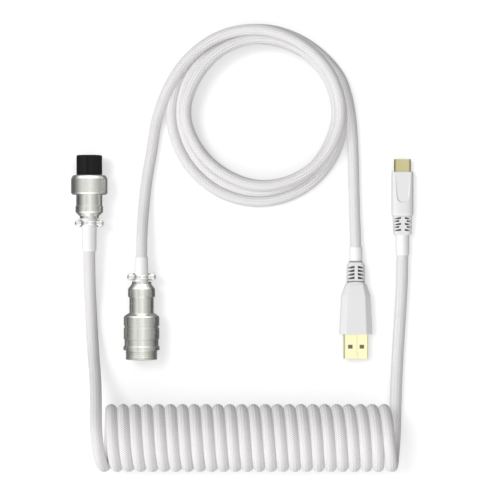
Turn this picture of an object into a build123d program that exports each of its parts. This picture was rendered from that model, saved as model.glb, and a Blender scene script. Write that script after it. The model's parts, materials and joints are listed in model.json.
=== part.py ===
"""Detachable coiled keyboard cable in two leads, with its pieces as separate solids in millimetres.

The coiled lead runs from a round five-way screw-coupling plug, through a tight coil, to a USB-C plug.
The straight lead runs from the matching threaded socket, through three and a half loose loops, to a
USB-A plug. Both lie on a table at Z = 0, with every connector's axis along Y. The origin is on the
table under the middle of the four connectors, +X runs from the coupling plug to the USB-C plug, and
+Y is the way the coupling plug and the USB-C plug point.
"""

import math
import os
from dataclasses import dataclass

from build123d import *

# ---- where things lie -------------------------------------------------------------------------
HALF_SPAN_X = 85.0  # from the origin to the coupling nut's left side, and to the USB-C body's right
HALF_SPAN_Y = 50.6  # from the origin to the plug's tip, and to the socket's mouth
NUT_R = 9.0  # the plug and the socket lie on the table on their widest rings
COLLAR_R = 8.95
USB_A_THICK = 8.6
USB_C_THICK = 7.4
USB_C_WIDTH = 10.8

# ---- cords ------------------------------------------------------------------------------------
COILED_R = 2.9  # radius of the coiled lead's braided cord
STRAIGHT_R = 2.7  # radius of the straight lead's braided cord
SLEEVE_GAP = 0.05  # between a cord and the sleeve, boot or clamp round it
COIL_MEAN_R = 13.75  # from the coil's axis to its cord's centre
COIL_Y = -88.8
COIL_TOP_X = -69.0  # where the cord first passes over the top of the coil
COIL_PITCH = 5.84
COIL_TURNS = 24.5
COIL_FIRST_LEAN, COIL_LEAN = 1.4, 2.0  # how far the first and last half turns lean out
COIL_Z = COIL_MEAN_R + COILED_R
LOOP_OUTSIDE = (9.5, 70.4, 47.8, 45.1)  # middle of the loose loops' outline, and its half-axes
LOOP_HOLE = (9.1, 72.3, 35.4, 33.9)
LOOP_HIGH = 16.2  # three strands lie on each other where the loops cross
BODY_GAP = 0.3  # between the coil and the tail that moves away from it

# ---- the five-way coupling --------------------------------------------------------------------
WAYS = 5
CONTACT_CIRCLE_R = 3.6
PIN_R = 0.75
CONTACT_IN_R, CONTACT_OUT_R = 0.8, 1.1
INSERT_R = 6.35
THREAD_R = 7.9  # crest of the socket's M16 x 1 thread
THREAD_LONG = 4.7
MOUTH_R, MOUTH_DEEP = 6.85, 10.5
NUT_BORE_R = 8.0  # root of the nut's thread, which takes the socket's crest
KEY_WIDE, KEY_DEEP = 1.6, 1.0
WIRE_R = 0.55
SCREW_X = 5.3  # clamp screws, each side of the cord
SCREW_R, SCREW_HEAD_R, SCREW_HEAD_HIGH = 0.8, 1.45, 1.0
EAR_R, EAR_LOW, EAR_HIGH = 1.75, 0.25, 1.9
EAR_LAP, WEB_HALF = 1.2, 1.6  # how far an ear's web reaches into the arch, and half its width
CLAMP_WIDE = 3.4  # along the cord
SLOT_CLEAR = 0.05  # working clearance between pieces that are assembled into each other
BEYOND = 40.0  # long enough to cut past everything


@dataclass(frozen=True)
class Connector:
    """A connector whose axis is along Y, with distances measured from its tip towards its cord."""

    x: float
    z: float
    tip_y: float
    inward: int  # +1 where the cord leaves towards +Y, and -1 towards -Y

    def y(self, along):
        return self.tip_y + self.inward * along

    def turned(self, *profile):
        """A solid of revolution from a closed outline of (radius, distance from the tip)."""
        outline = Polyline([(r, self.inward * along) for r, along in profile], close=True)
        return Pos(self.x, self.tip_y, self.z) * revolve(make_face(outline), Axis.Y)

    def ring(self, outer, inner, start, end):
        return self.turned((inner, start), (outer, start), (outer, end), (inner, end))

    def rod(self, radius, start, end, x=0.0, z=0.0):
        turn = Rot(90, 0, 0) * Cylinder(radius, end - start)
        return Pos(self.x + x, self.y((start + end) / 2), self.z + z) * turn

    def block(self, wide, thick, start, end, x=0.0, z=0.0):
        middle = Pos(self.x + x, self.y((start + end) / 2), self.z + z)
        return middle * Box(wide, end - start, thick)

    def prism(self, face, start, end):
        """Carries a face drawn about the axis, its Y standing for height, from start to end."""
        solid = Rot(90, 0, 0) * extrude(face, amount=end - start)
        low_y = min(self.y(start), self.y(end))
        return Pos(self.x, low_y + (end - start), self.z) * solid

    def post(self, radius, low, high, x, along):
        """A round post along Z, with low and high measured from the axis."""
        return Pos(self.x + x, self.y(along), self.z + (low + high) / 2) * Cylinder(radius, high - low)

    def slanted(self, radius, start, end):
        """A rod between two points, each (x, distance from the tip, z) about the axis."""
        foot = Vector(self.x + start[0], self.y(start[1]), self.z + start[2])
        head = Vector(self.x + end[0], self.y(end[1]), self.z + end[2])
        return Plane(foot, z_dir=head - foot) * extrude(Circle(radius), amount=(head - foot).length)


PLUG = Connector(-HALF_SPAN_X + NUT_R, NUT_R, HALF_SPAN_Y, -1)
SOCKET = Connector(-50.1, COLLAR_R, -HALF_SPAN_Y, 1)
USB_A = Connector(56.35, USB_A_THICK / 2, -50.45, 1)
USB_C = Connector(HALF_SPAN_X - USB_C_WIDTH / 2, USB_C_THICK / 2, 48.9, -1)


def contact_places(radius=CONTACT_CIRCLE_R):
    """The five contacts' (x, z) about a connector's axis, the first one at the top."""
    angles = [math.radians(90 + 360 / WAYS * way) for way in range(WAYS)]
    return [(radius * math.cos(a), radius * math.sin(a)) for a in angles]


def group(solids):
    return Compound(children=list(solids))


# ---- coupling plug on the coiled lead ---------------------------------------------------------
PLUG_CORD_END = 31.0
PLUG_SLEEVE_R = 3.65
PLUG_CLAMP_AT, PLUG_CLAMP_R = 33.7, 4.9
NUT_START, NUT_END = 9.9, 19.5
RING_START, RING_END = 16.8, 17.5
FLANGE_START, FLANGE_END = 12.1, 13.3


def plug_insert():
    """Moulded insert with five bores and a keyway along its top."""
    body = PLUG.turned((0, 0), (INSERT_R - 0.4, 0), (INSERT_R, 0.4), (INSERT_R, 12.0), (5.1, 12.0),
                       (5.1, 16.5), (0, 16.5))
    for x, z in contact_places():
        body -= PLUG.rod(CONTACT_OUT_R + SLOT_CLEAR, -1, 18, x, z)
    body -= PLUG.block(KEY_WIDE + 0.2, 2.4, -1, 9.8, 0, INSERT_R)
    for side in (-1, 1):
        body -= PLUG.block(0.9, 0.9, -1, 9.8, side * 3.6, 5.5)
    return body


def plug_contacts():
    """Five hollow contacts with solder cups behind the insert."""
    return group(
        PLUG.rod(CONTACT_OUT_R, 0.3, 19.5, x, z) - PLUG.rod(CONTACT_IN_R, -1, 9.5, x, z)
        - PLUG.rod(CONTACT_IN_R, 18.0, 21, x, z)
        for x, z in contact_places()
    )


def plug_front_shell():
    """Flanged sleeve that holds the insert and stops the nut sliding off."""
    return PLUG.turned((5.15, FLANGE_START), (7.3, FLANGE_START), (7.3, FLANGE_END), (6.45, FLANGE_END),
                       (6.45, 18.6), (5.85, 18.6), (5.85, 23.0), (5.15, 23.0))


def coupling_nut():
    """Captive nut: bevelled nose, threaded bore, groove for the split ring, and a rear lip."""
    return PLUG.turned((7.45, NUT_START), (7.9, NUT_START), (NUT_R, NUT_START + 1.6), (NUT_R, 18.7),
                       (8.3, NUT_END), (6.6, NUT_END), (6.6, RING_END + 0.1), (NUT_BORE_R, RING_END + 0.1),
                       (NUT_BORE_R, RING_START - 0.1), (7.45, RING_START - 0.1))


def nut_split_ring():
    """Split ring that rides in the nut's groove."""
    ring = PLUG.ring(7.9, 6.6, RING_START, RING_END)
    return ring - PLUG.block(1.2, 4, RING_START - 1, RING_END + 1, 0, -7.3)


@dataclass(frozen=True)
class CordClamp:
    """Clamp at a back shell's tail: two half arches round the sleeve, each with two screwed ears."""

    at: Connector
    along: float  # distance of the screws from the tip
    inner: float
    outer: float

    def strap(self, side):
        """One half, above (+1) or below (-1) the axis."""
        at, along = self.at, self.along
        arch = at.ring(self.outer, self.inner, along - CLAMP_WIDE / 2, along + CLAMP_WIDE / 2)
        strap = arch & at.block(BEYOND, BEYOND, along - CLAMP_WIDE, along + CLAMP_WIDE, 0,
                                side * (BEYOND / 2 + EAR_LOW))
        low, high = sorted((side * EAR_LOW, side * EAR_HIGH))
        web_x = self.outer - EAR_LAP
        for turn in (-1, 1):
            ear = at.post(EAR_R, low, high, turn * SCREW_X, along)
            web = at.block(SCREW_X - web_x, high - low, along - WEB_HALF, along + WEB_HALF,
                           turn * (SCREW_X + web_x) / 2, (low + high) / 2)
            strap += (ear + web) - at.rod(self.inner, along - CLAMP_WIDE, along + CLAMP_WIDE)
        return strap

    def holes(self, clear):
        """The two screws' holes, as solids to cut."""
        return [self.at.post(SCREW_R + clear, -4, 4, x, self.along) for x in (-SCREW_X, SCREW_X)]

    def saddle(self):
        """Loose upper half, with clearance holes and seats for the screws' heads."""
        saddle = self.strap(1)
        for hole in self.holes(0.1):
            saddle -= hole
        for x in (-SCREW_X, SCREW_X):
            saddle -= self.at.post(SCREW_HEAD_R + 0.1, EAR_HIGH, self.outer, x, self.along)
        return saddle

    def screws(self):
        """Two cross-head screws, down through both ears."""
        head_top = EAR_HIGH + SCREW_HEAD_HIGH
        screws = []
        for x in (-SCREW_X, SCREW_X):
            head = self.at.post(SCREW_HEAD_R, EAR_HIGH, head_top, x, self.along)
            head = fillet(head.faces().sort_by(Axis.Z)[-1].edges(), 0.45)
            screw = head + self.at.post(SCREW_R, -2.3, EAR_HIGH, x, self.along)
            for wide, long in ((0.4, 1.7), (1.7, 0.4)):
                screw -= self.at.block(wide, 1.2, self.along - long / 2, self.along + long / 2, x, head_top)
            screws.append(screw)
        return group(screws)


def back_shell(clamp, outline):
    """Turned shell whose tail is the fixed lower half of the clamp, with the screws' tapped holes."""
    shell = clamp.at.turned(*outline) + clamp.strap(-1)
    end = max(distance for _, distance in outline)
    tongue = clamp.at.ring(clamp.outer, clamp.inner, end - 0.5, clamp.along)
    shell += tongue & clamp.at.block(BEYOND, BEYOND, 0, clamp.along, 0, -BEYOND / 2 - EAR_LOW)
    for hole in clamp.holes(0.0):
        shell -= hole
    return shell


def plug_clamp():
    return CordClamp(PLUG, PLUG_CLAMP_AT, PLUG_SLEEVE_R + SLOT_CLEAR, PLUG_CLAMP_R)


def plug_back_shell():
    """Barrel, bulge and cone, which ends in the clamp."""
    clamp = plug_clamp()
    return back_shell(clamp, [(5.9, 18.65), (6.45, 18.65), (6.45, 24.9), (6.8, 25.3), (6.8, 28.0), (6.6, 28.4),
                              (4.7, 30.2), (4.7, 31.3), (clamp.inner, 31.3), (clamp.inner, 30.6), (5.9, 28.2)])


def wires(connector, start, end, ring_r):
    """Five insulated wires, drawn in from the solder cups to the end of the cord."""
    return group(
        connector.slanted(WIRE_R, (x, start, z), (inner_x, end, inner_z))
        for (x, z), (inner_x, inner_z) in zip(contact_places(), contact_places(ring_r))
    )


# ---- threaded socket on the straight lead -----------------------------------------------------
SOCKET_CORD_END = 37.8
SOCKET_SLEEVE_R = 3.25
SOCKET_CLAMP_AT, SOCKET_CLAMP_R = 40.9, 4.6


def socket_shell():
    """Threaded mouth, stop rim and band, with a key rib down the inside."""
    shell = SOCKET.turned((MOUTH_R, 0.3), (MOUTH_R + 0.3, 0), (THREAD_R - 0.4, 0), (THREAD_R, 0.4),
                          (THREAD_R, THREAD_LONG), (COLLAR_R, THREAD_LONG), (COLLAR_R, 6.4), (8.4, 6.8),
                          (8.4, 9.95), (7.6, 9.95), (7.6, 19.0), (5.6, 19.0), (5.6, MOUTH_DEEP),
                          (MOUTH_R, MOUTH_DEEP))
    rib = SOCKET.block(KEY_WIDE, KEY_DEEP + 0.4, 1.5, MOUTH_DEEP, 0, MOUTH_R - KEY_DEEP / 2 + 0.2)
    return shell + rib


def socket_insert():
    """Black disc that carries the pins."""
    body = SOCKET.turned((0, MOUTH_DEEP + 0.05), (5.55, MOUTH_DEEP + 0.05), (5.55, 17.5), (0, 17.5))
    for x, z in contact_places():
        body -= SOCKET.rod(PIN_R + 0.02, 9, 19, x, z)
    return body


def socket_pins():
    """Five pins with rounded tips, standing in the mouth."""
    pins = []
    for x, z in contact_places():
        pin = SOCKET.rod(PIN_R, 3.6, 21.0, x, z)
        pins.append(fillet(pin.edges().group_by(Axis.Y)[0], 0.4))
    return group(pins)


def socket_collar():
    """Union collar with a turned groove, which holds the back shell on."""
    return SOCKET.turned((7.65, 10.0), (8.5, 10.0), (8.8, 10.3), (8.8, 15.6), (8.3, 15.9), (8.3, 16.5),
                         (8.8, 16.8), (8.8, 21.0), (8.4, 21.6), (6.3, 23.0), (6.05, 23.0), (6.05, 20.05),
                         (7.65, 20.05))


def socket_clamp():
    return CordClamp(SOCKET, SOCKET_CLAMP_AT, SOCKET_SLEEVE_R + SLOT_CLEAR, SOCKET_CLAMP_R)


def socket_back_shell():
    """Barrel, bulge and cone, with the flange that the union collar holds, and the clamp."""
    clamp = socket_clamp()
    return back_shell(clamp, [(5.3, 19.05), (7.4, 19.05), (7.4, 20.0), (6.0, 20.0), (6.0, 30.7), (6.7, 31.2),
                              (6.7, 34.6), (6.4, 35.4), (4.8, 37.4), (4.8, 38.6), (clamp.inner, 38.6),
                              (clamp.inner, 37.6), (5.3, 34.8)])


# ---- USB plugs --------------------------------------------------------------------------------
@dataclass(frozen=True)
class UsbPlug:
    """What the two USB plugs share: a crimped cord stub in a slotted boot behind a moulded body."""

    at: Connector
    body_end: float  # the moulded body's back, from the tip
    boot_end: float
    sleeve_end: float
    sleeve_r: float
    cord_r: float
    core_r: float

    def sleeve(self):
        """Plain white sleeve over the cord, behind the boot."""
        return self.at.turned((self.cord_r + SLEEVE_GAP, self.boot_end), (self.sleeve_r, self.boot_end),
                              (self.sleeve_r, self.sleeve_end - 0.3), (self.sleeve_r - 0.25, self.sleeve_end),
                              (self.cord_r + SLEEVE_GAP, self.sleeve_end))

    def crimp(self):
        """Metal ferrule that grips the cord's jacket, inside the boot."""
        return self.at.ring(self.cord_r, self.core_r, self.body_end, self.boot_end - 0.3)

    def cable_core(self, start):
        """The cord's jacket without its braid, through the ferrule into the inner mould."""
        return self.at.rod(self.core_r, start, self.boot_end - 0.3)


A_PLUG = UsbPlug(USB_A, 37.3, 48.65, 55.8, 3.2, STRAIGHT_R, 2.0)
C_PLUG = UsbPlug(USB_C, 28.4, 37.8, 47.9, 3.35, COILED_R, 2.1)
A_SHELL = (12.0, 4.5, 0.35)  # outside width and height, and wall
C_SHELL = (8.34, 2.56, 0.25)
A_CORNER = 0.6
A_WINDOW_X, A_WINDOW_WIDE, A_WINDOW_START, A_WINDOW_END = 2.85, 2.2, 5.1, 7.0
A_TONGUE_WIDE, A_TONGUE_THICK, A_TONGUE_Z = 11.0, 1.85, 0.95
A_STRIP_THICK = 0.2
A_MOULD_WIDE, A_MOULD_THICK, A_MOULD_END = 9.6, 5.2, 27.0  # the inner mould behind the shell
C_MOULD_WIDE, C_MOULD_THICK, C_MOULD_END = 8.0, 4.6, 22.5
# The seam's straight cuts, each from start to end along the shell and from left to right across it.
A_SEAM = ((-1.0, 3.7, 0.7, 0.84), (3.56, 3.7, -0.1, 0.84), (3.56, 4.9, -0.24, -0.1), (4.76, 4.9, -0.24, 0.54),
          (4.76, 12.25, 0.4, 0.54))
A_SHELL_LONG, A_OUT = 17.0, 12.25  # whole length, and how much stands out of the body
C_SHELL_LONG, C_OUT = 11.5, 6.3
C_CORNER = C_SHELL[1] / 2 - 0.01
C_FACET_SLOPE = 5.0  # degrees
C_FACET_DEEP = 1.3  # at the body's mouth
A_CORE_START, C_CORE_START = 25.0, 21.0  # the jacket stubs' front ends
SLOT_FLOOR, SLOT_CUT = 0.9, 4.0  # a boot slot's floor above the axis, and the depth of its cutter
FACET_CUT = 4.0


def tube_shell(connector, size, corner, length):
    """Folded rectangular metal shell, open at both ends."""
    wide, high, wall = size
    outside = connector.prism(RectangleRounded(wide, high, corner), 0, length)
    inside = RectangleRounded(wide - 2 * wall, high - 2 * wall, corner - wall)
    return outside - connector.prism(inside, -1, length + 1)


def usb_a_shell():
    """USB-A shell with two latch windows in each wide face, and a keyed seam along the top."""
    shell = tube_shell(USB_A, A_SHELL, A_CORNER, A_SHELL_LONG)
    for x in (-A_WINDOW_X, A_WINDOW_X):
        shell -= USB_A.block(A_WINDOW_WIDE, BEYOND, A_WINDOW_START, A_WINDOW_END, x)
    for start, end, left, right in A_SEAM:
        shell -= USB_A.block(right - left, 0.5, start, end, (left + right) / 2, A_SHELL[1] / 2)
    return shell


def usb_a_tongue():
    """Dark contact carrier, against the shell's seamed face."""
    return USB_A.block(A_TONGUE_WIDE, A_TONGUE_THICK, 0.4, A_SHELL_LONG, 0, A_TONGUE_Z)


def usb_a_contacts():
    """Four contact strips on the tongue's inner face: the outer two reach further forward."""
    strip_z = A_TONGUE_Z - (A_TONGUE_THICK + A_STRIP_THICK) / 2
    return group(
        USB_A.block(1.0, A_STRIP_THICK, start, A_SHELL_LONG, x, strip_z)
        for x, start in ((-3.5, 1.4), (-1.0, 2.4), (1.0, 2.4), (3.5, 1.4))
    )


def usb_a_inner_mould():
    """Inner mould round the soldered wires, between the shell and the cord."""
    mould = USB_A.block(A_MOULD_WIDE, A_MOULD_THICK, A_SHELL_LONG, A_MOULD_END)
    return mould - USB_A.rod(A_PLUG.core_r, A_MOULD_END - 2, A_MOULD_END + 1)


def octagon(top, wide, high):
    """Half-width and half-height outline with sloping shoulders, as a closed face."""
    side = high * 0.42  # the upright part of each side
    points = [(top / 2, high / 2), (wide / 2, side / 2), (wide / 2, -side / 2), (top / 2, -high / 2)]
    mirrored = [(-x, y) for x, y in reversed(points)]
    return make_face(Polyline(points + mirrored, close=True))


def section_plane(connector, along):
    """Plane across a connector's axis at that distance, with X as X and Y as height."""
    return Plane(Vector(connector.x, connector.y(along), connector.z), x_dir=(1, 0, 0), z_dir=(0, -1, 0))


def lofted(connector, *sections):
    """Ruled solid through (distance from the tip, face) pairs."""
    return loft([section_plane(connector, along) * face for along, face in sections], ruled=True)


def usb_a_overmold():
    """Faceted body: tapered sides, shoulders that slope in to the boot, and flat top and underside."""
    proud = USB_A_THICK + 0.3  # the loft is a little too thick, and is cut flat at its true thickness
    body = lofted(USB_A, (A_OUT, octagon(10.1, 16.3, proud)), (31.1, octagon(8.6, 14.3, proud)),
                  (34.4, octagon(7.6, 12.2, 8.3)), (A_PLUG.body_end, octagon(6.7, 10.2, 7.6)))
    body &= USB_A.block(BEYOND, USB_A_THICK, 0, BEYOND)
    body -= USB_A.prism(RectangleRounded(A_SHELL[0], A_SHELL[1], A_CORNER), 0, A_SHELL_LONG)
    body -= USB_A.block(A_MOULD_WIDE, A_MOULD_THICK, A_SHELL_LONG, A_MOULD_END)
    return body - USB_A.rod(A_PLUG.core_r, A_MOULD_END - 1, BEYOND)


def slotted_boot(plug, wide, high, end_wide, end_high, slots):
    """Tapered strain relief with cross slots in its top and bottom, each (distance, thick, |x| range)."""
    at = plug.at
    body = lofted(at, (plug.body_end, RectangleRounded(wide, high, high * 0.45)),
                  (plug.boot_end, RectangleRounded(end_wide, end_high, end_high * 0.45)))
    body -= at.rod(plug.cord_r + SLEEVE_GAP, plug.body_end - 1, plug.boot_end + 1)
    for along, thick, near, far in slots:
        for side in (-1, 1):
            for face in (-1, 1):
                body -= at.block(far - near, SLOT_CUT, along - thick / 2, along + thick / 2,
                                 side * (near + far) / 2, face * (SLOT_FLOOR + SLOT_CUT / 2))
    return body


def usb_a_boot():
    """Four pairs of slots, and a fifth pair beside the body."""
    rows = [(45.3 - 1.78 * row, 0.85, 1.2, 6.0) for row in range(4)]
    return slotted_boot(A_PLUG, 9.5, 7.6, 7.2, 7.0, rows + [(38.0, 0.8, 0.8, 6.0)])


def usb_c_shell():
    """Seamless oval shell."""
    return tube_shell(USB_C, C_SHELL, C_CORNER, C_SHELL_LONG)


def usb_c_insulator():
    """Contact carrier: fills the shell, with the slot that takes the receptacle's tongue."""
    wide, high = C_SHELL[0] - 2 * C_SHELL[2], C_SHELL[1] - 2 * C_SHELL[2]
    face = RectangleRounded(wide - SLOT_CLEAR, high - SLOT_CLEAR, (high - SLOT_CLEAR) / 2 - 0.01)
    body = USB_C.prism(face, 0.25, C_SHELL_LONG)
    return body - USB_C.block(6.9, 1.1, -1, 6.2)


def usb_c_contacts():
    """Twelve contacts above the slot and twelve below."""
    return group(
        USB_C.block(0.25, 0.12, 1.2, 5.6, -2.75 + 0.5 * place, face * 0.49)
        for face in (-1, 1) for place in range(12)
    )


def usb_c_paddle_card():
    """Small circuit card that the wires are soldered to."""
    return USB_C.block(7.0, 0.8, C_SHELL_LONG, 20.0)


def usb_c_inner_mould():
    """Inner mould round the card and the soldered wires."""
    mould = USB_C.block(C_MOULD_WIDE, C_MOULD_THICK, C_SHELL_LONG, C_MOULD_END) - usb_c_paddle_card()
    return mould - USB_C.rod(C_PLUG.core_r, C_CORE_START, C_MOULD_END + 1)


def usb_c_overmold():
    """Oval body with a flat finger facet sloping to its mouth, above and below."""
    body = USB_C.prism(RectangleRounded(USB_C_WIDTH, USB_C_THICK, 3.2), C_OUT, C_PLUG.body_end)
    back = body.faces().sort_by(Axis.Y)[0]
    body = fillet(back.edges(), 0.9)
    for face in (-1, 1):
        facet = Rot(face * C_FACET_SLOPE, 0, 0) * Box(BEYOND, BEYOND, FACET_CUT)
        height = face * (USB_C_THICK / 2 - C_FACET_DEEP + FACET_CUT / 2)
        body -= Pos(USB_C.x, USB_C.y(C_OUT), USB_C.z + height) * facet
    body -= USB_C.prism(RectangleRounded(C_SHELL[0], C_SHELL[1], C_CORNER), 0, C_SHELL_LONG)
    body -= USB_C.block(C_MOULD_WIDE, C_MOULD_THICK, C_SHELL_LONG, C_MOULD_END)
    return body - USB_C.rod(C_PLUG.core_r, C_CORE_START + 1, BEYOND)


def usb_c_boot():
    """Five rows of slots, by turns near the middle and open at the sides."""
    reaches = ((1.0, 3.7), (1.9, 6.0))
    rows = [(29.5 + 1.5 * row, 0.7, *reaches[row % 2]) for row in range(5)]
    return slotted_boot(C_PLUG, 9.3, 7.0, 8.3, 6.9, rows)


# ---- cords ------------------------------------------------------------------------------------
PLUG_TAIL = [
    (PLUG.x, PLUG.y(PLUG_CORD_END), PLUG.z), (PLUG.x, -3.5, PLUG.z), (-75.9, -15.5, 6.2), (-75.6, -27.0, 3.0),
    (-75.0, -38.5, 3.6), (-74.0, -49.5, 7.2), (-72.5, -60.0, 14.6), (-71.6, -70.5, 23.6), (-71.1, -82.0, 30.3),
]
USB_C_TAIL = [
    (76.1, -83.0, COILED_R), (76.3, -70.0, COILED_R), (76.9, -55.0, COILED_R), (77.9, -38.0, COILED_R),
    (79.0, -21.0, 3.0), (USB_C.x, -7.0, USB_C.z), (USB_C.x, USB_C.y(C_PLUG.boot_end - 0.25), USB_C.z),
]
SOCKET_TAIL = [
    (SOCKET.x, SOCKET.y(SOCKET_CORD_END), SOCKET.z), (SOCKET.x, 5.8, SOCKET.z), (-49.8, 16.0, 6.2),
    (-49.1, 27.0, 3.3), (-47.8, 39.0, STRAIGHT_R), (-45.2, 53.0, 2.8), (-41.3, 69.0, 4.6), (-36.0, 82.0, 7.4),
    (-29.0, 94.0, 8.1),
]
USB_A_TAIL = [
    (52.4, 80.0, STRAIGHT_R), (54.4, 66.0, STRAIGHT_R), (55.2, 50.0, STRAIGHT_R), (55.5, 33.0, STRAIGHT_R),
    (55.9, 18.0, 3.4), (USB_A.x, 8.0, USB_A.z), (USB_A.x, USB_A.y(A_PLUG.boot_end - 0.25), USB_A.z),
]


def bend_radii(route):
    """The largest tangent arc at each corner that its two runs allow."""
    points = [Vector(*point) for point in route]
    radii = []
    for before, corner, after in zip(points, points[1:], points[2:]):
        turn = math.radians((corner - before).get_angle(after - corner))
        shorter = min((corner - before).length, (after - corner).length)
        radii.append(0.45 * shorter / math.tan(turn / 2))
    return radii


def cord(name, route, radius):
    """Round cord along straight runs joined by tangent arcs."""
    radii = bend_radii(route)
    path = FilletPolyline(*route, radius=radii)
    direction = Vector(*route[1]) - Vector(*route[0])
    tube = sweep(Plane(Vector(*route[0]), z_dir=direction) * Circle(radius), path=path)
    expected = math.pi * radius ** 2 * path.length
    print(f"{name}: {path.length:.1f} mm, tightest bend {min(radii):.1f} mm, "
          f"volume {tube.volume:.0f} of {expected:.0f} mm3")
    return tube


def coil_solid(gap=0.0):
    """The closed coil's outer shape: a thick tube lying along X, and thicker by the gap all round."""
    low_x = COIL_TOP_X - COIL_FIRST_LEAN - COILED_R
    high_x = COIL_TOP_X + COIL_TURNS * COIL_PITCH + COIL_LEAN + COILED_R
    outer, inner = COIL_MEAN_R + COILED_R + gap, COIL_MEAN_R - COILED_R
    length = high_x - low_x + 2 * gap
    tube = Cylinder(outer, length) - Cylinder(inner, length)
    return Pos((low_x + high_x) / 2, COIL_Y, COIL_Z) * (Rot(0, 90, 0) * tube)


def oval(place):
    x, y, half_x, half_y = place
    return Pos(x, y) * Ellipse(half_x, half_y)


def loop_solid():
    """The loose loops' outer shape: a flat oval ring on the table."""
    return extrude(oval(LOOP_OUTSIDE) - oval(LOOP_HOLE), amount=LOOP_HIGH)


def cords():
    """The six cord nodes. Each tail stops at the face of its coil, ring or boot.

    The USB-C tail moves away as the coil stretches, so it stops a little short of the coil.
    """
    coil, loops = coil_solid(), loop_solid()
    return {
        "coiled_lead_plug_tail": cord("plug tail", PLUG_TAIL, COILED_R) - coil,
        "coiled_lead_coil": coil,
        "coiled_lead_usb_c_tail": cord("USB-C tail", USB_C_TAIL, COILED_R) - coil_solid(BODY_GAP),
        "straight_lead_socket_tail": cord("socket tail", SOCKET_TAIL, STRAIGHT_R) - loops,
        "straight_lead_loops": loops,
        "straight_lead_usb_a_tail": cord("USB-A tail", USB_A_TAIL, STRAIGHT_R) - loops,
    }


def coupling_plug():
    """Every node of the coupling plug, by name."""
    return {
        "plug_insert": plug_insert(),
        "plug_contact_sleeves": plug_contacts(),
        "plug_front_shell": plug_front_shell(),
        "plug_coupling_nut": coupling_nut(),
        "plug_nut_split_ring": nut_split_ring(),
        "plug_back_shell": plug_back_shell(),
        "plug_clamp_saddle": plug_clamp().saddle(),
        "plug_clamp_screws": plug_clamp().screws(),
        "plug_heatshrink_sleeve": PLUG.turned(
            (COILED_R + SLEEVE_GAP, PLUG_CORD_END), (PLUG_SLEEVE_R, PLUG_CORD_END), (PLUG_SLEEVE_R, 47.0),
            (PLUG_SLEEVE_R - 0.35, 47.6), (COILED_R + SLEEVE_GAP, 47.6)),
        "plug_wires": wires(PLUG, 19.7, PLUG_CORD_END - 0.2, 1.6),
    }


def threaded_socket():
    """Every node of the threaded socket, by name."""
    return {
        "socket_shell": socket_shell(),
        "socket_insert": socket_insert(),
        "socket_pins": socket_pins(),
        "socket_collar": socket_collar(),
        "socket_back_shell": socket_back_shell(),
        "socket_clamp_saddle": socket_clamp().saddle(),
        "socket_clamp_screws": socket_clamp().screws(),
        "socket_heatshrink_sleeve": SOCKET.turned(
            (STRAIGHT_R + SLEEVE_GAP, SOCKET_CORD_END), (SOCKET_SLEEVE_R, SOCKET_CORD_END),
            (SOCKET_SLEEVE_R, 50.6), (SOCKET_SLEEVE_R - 0.3, 51.0), (STRAIGHT_R + SLEEVE_GAP, 51.0)),
        "socket_wires": wires(SOCKET, 21.2, SOCKET_CORD_END - 0.2, 1.5),
    }


def usb_a_plug():
    """Every node of the USB-A plug, by name."""
    return {
        "usb_a_shell": usb_a_shell(),
        "usb_a_tongue": usb_a_tongue(),
        "usb_a_contacts": usb_a_contacts(),
        "usb_a_inner_mould": usb_a_inner_mould(),
        "usb_a_crimp": A_PLUG.crimp(),
        "usb_a_cable_core": A_PLUG.cable_core(A_CORE_START),
        "usb_a_overmold": usb_a_overmold(),
        "usb_a_boot": usb_a_boot(),
        "usb_a_sleeve": A_PLUG.sleeve(),
    }


def usb_c_plug():
    """Every node of the USB-C plug, by name."""
    return {
        "usb_c_shell": usb_c_shell(),
        "usb_c_insulator": usb_c_insulator(),
        "usb_c_contacts": usb_c_contacts(),
        "usb_c_paddle_card": usb_c_paddle_card(),
        "usb_c_inner_mould": usb_c_inner_mould(),
        "usb_c_crimp": C_PLUG.crimp(),
        "usb_c_cable_core": C_PLUG.cable_core(C_CORE_START),
        "usb_c_overmold": usb_c_overmold(),
        "usb_c_boot": usb_c_boot(),
        "usb_c_sleeve": C_PLUG.sleeve(),
    }


os.makedirs("parts", exist_ok=True)
for section in (coupling_plug, threaded_socket, usb_a_plug, usb_c_plug, cords):
    for node, shape in section().items():
        export_step(shape, f"parts/{node}.step")
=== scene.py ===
"""Looks of a detachable coiled keyboard cable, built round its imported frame.

Two white braided leads lie on a pale table. The coiled lead runs from a round five-way coupling plug,
through a tight coil, to a USB-C plug. The straight lead runs from the threaded socket that mates with
that plug, through three and a half loose loops, to a USB-A plug. Sizes in the classes are millimetres
about each connector's own axis, and meshes are in metres in the frame's own coordinates.
"""

import json
import logging
import math
from dataclasses import dataclass, field
from enum import Enum
from typing import Any, Callable

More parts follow.
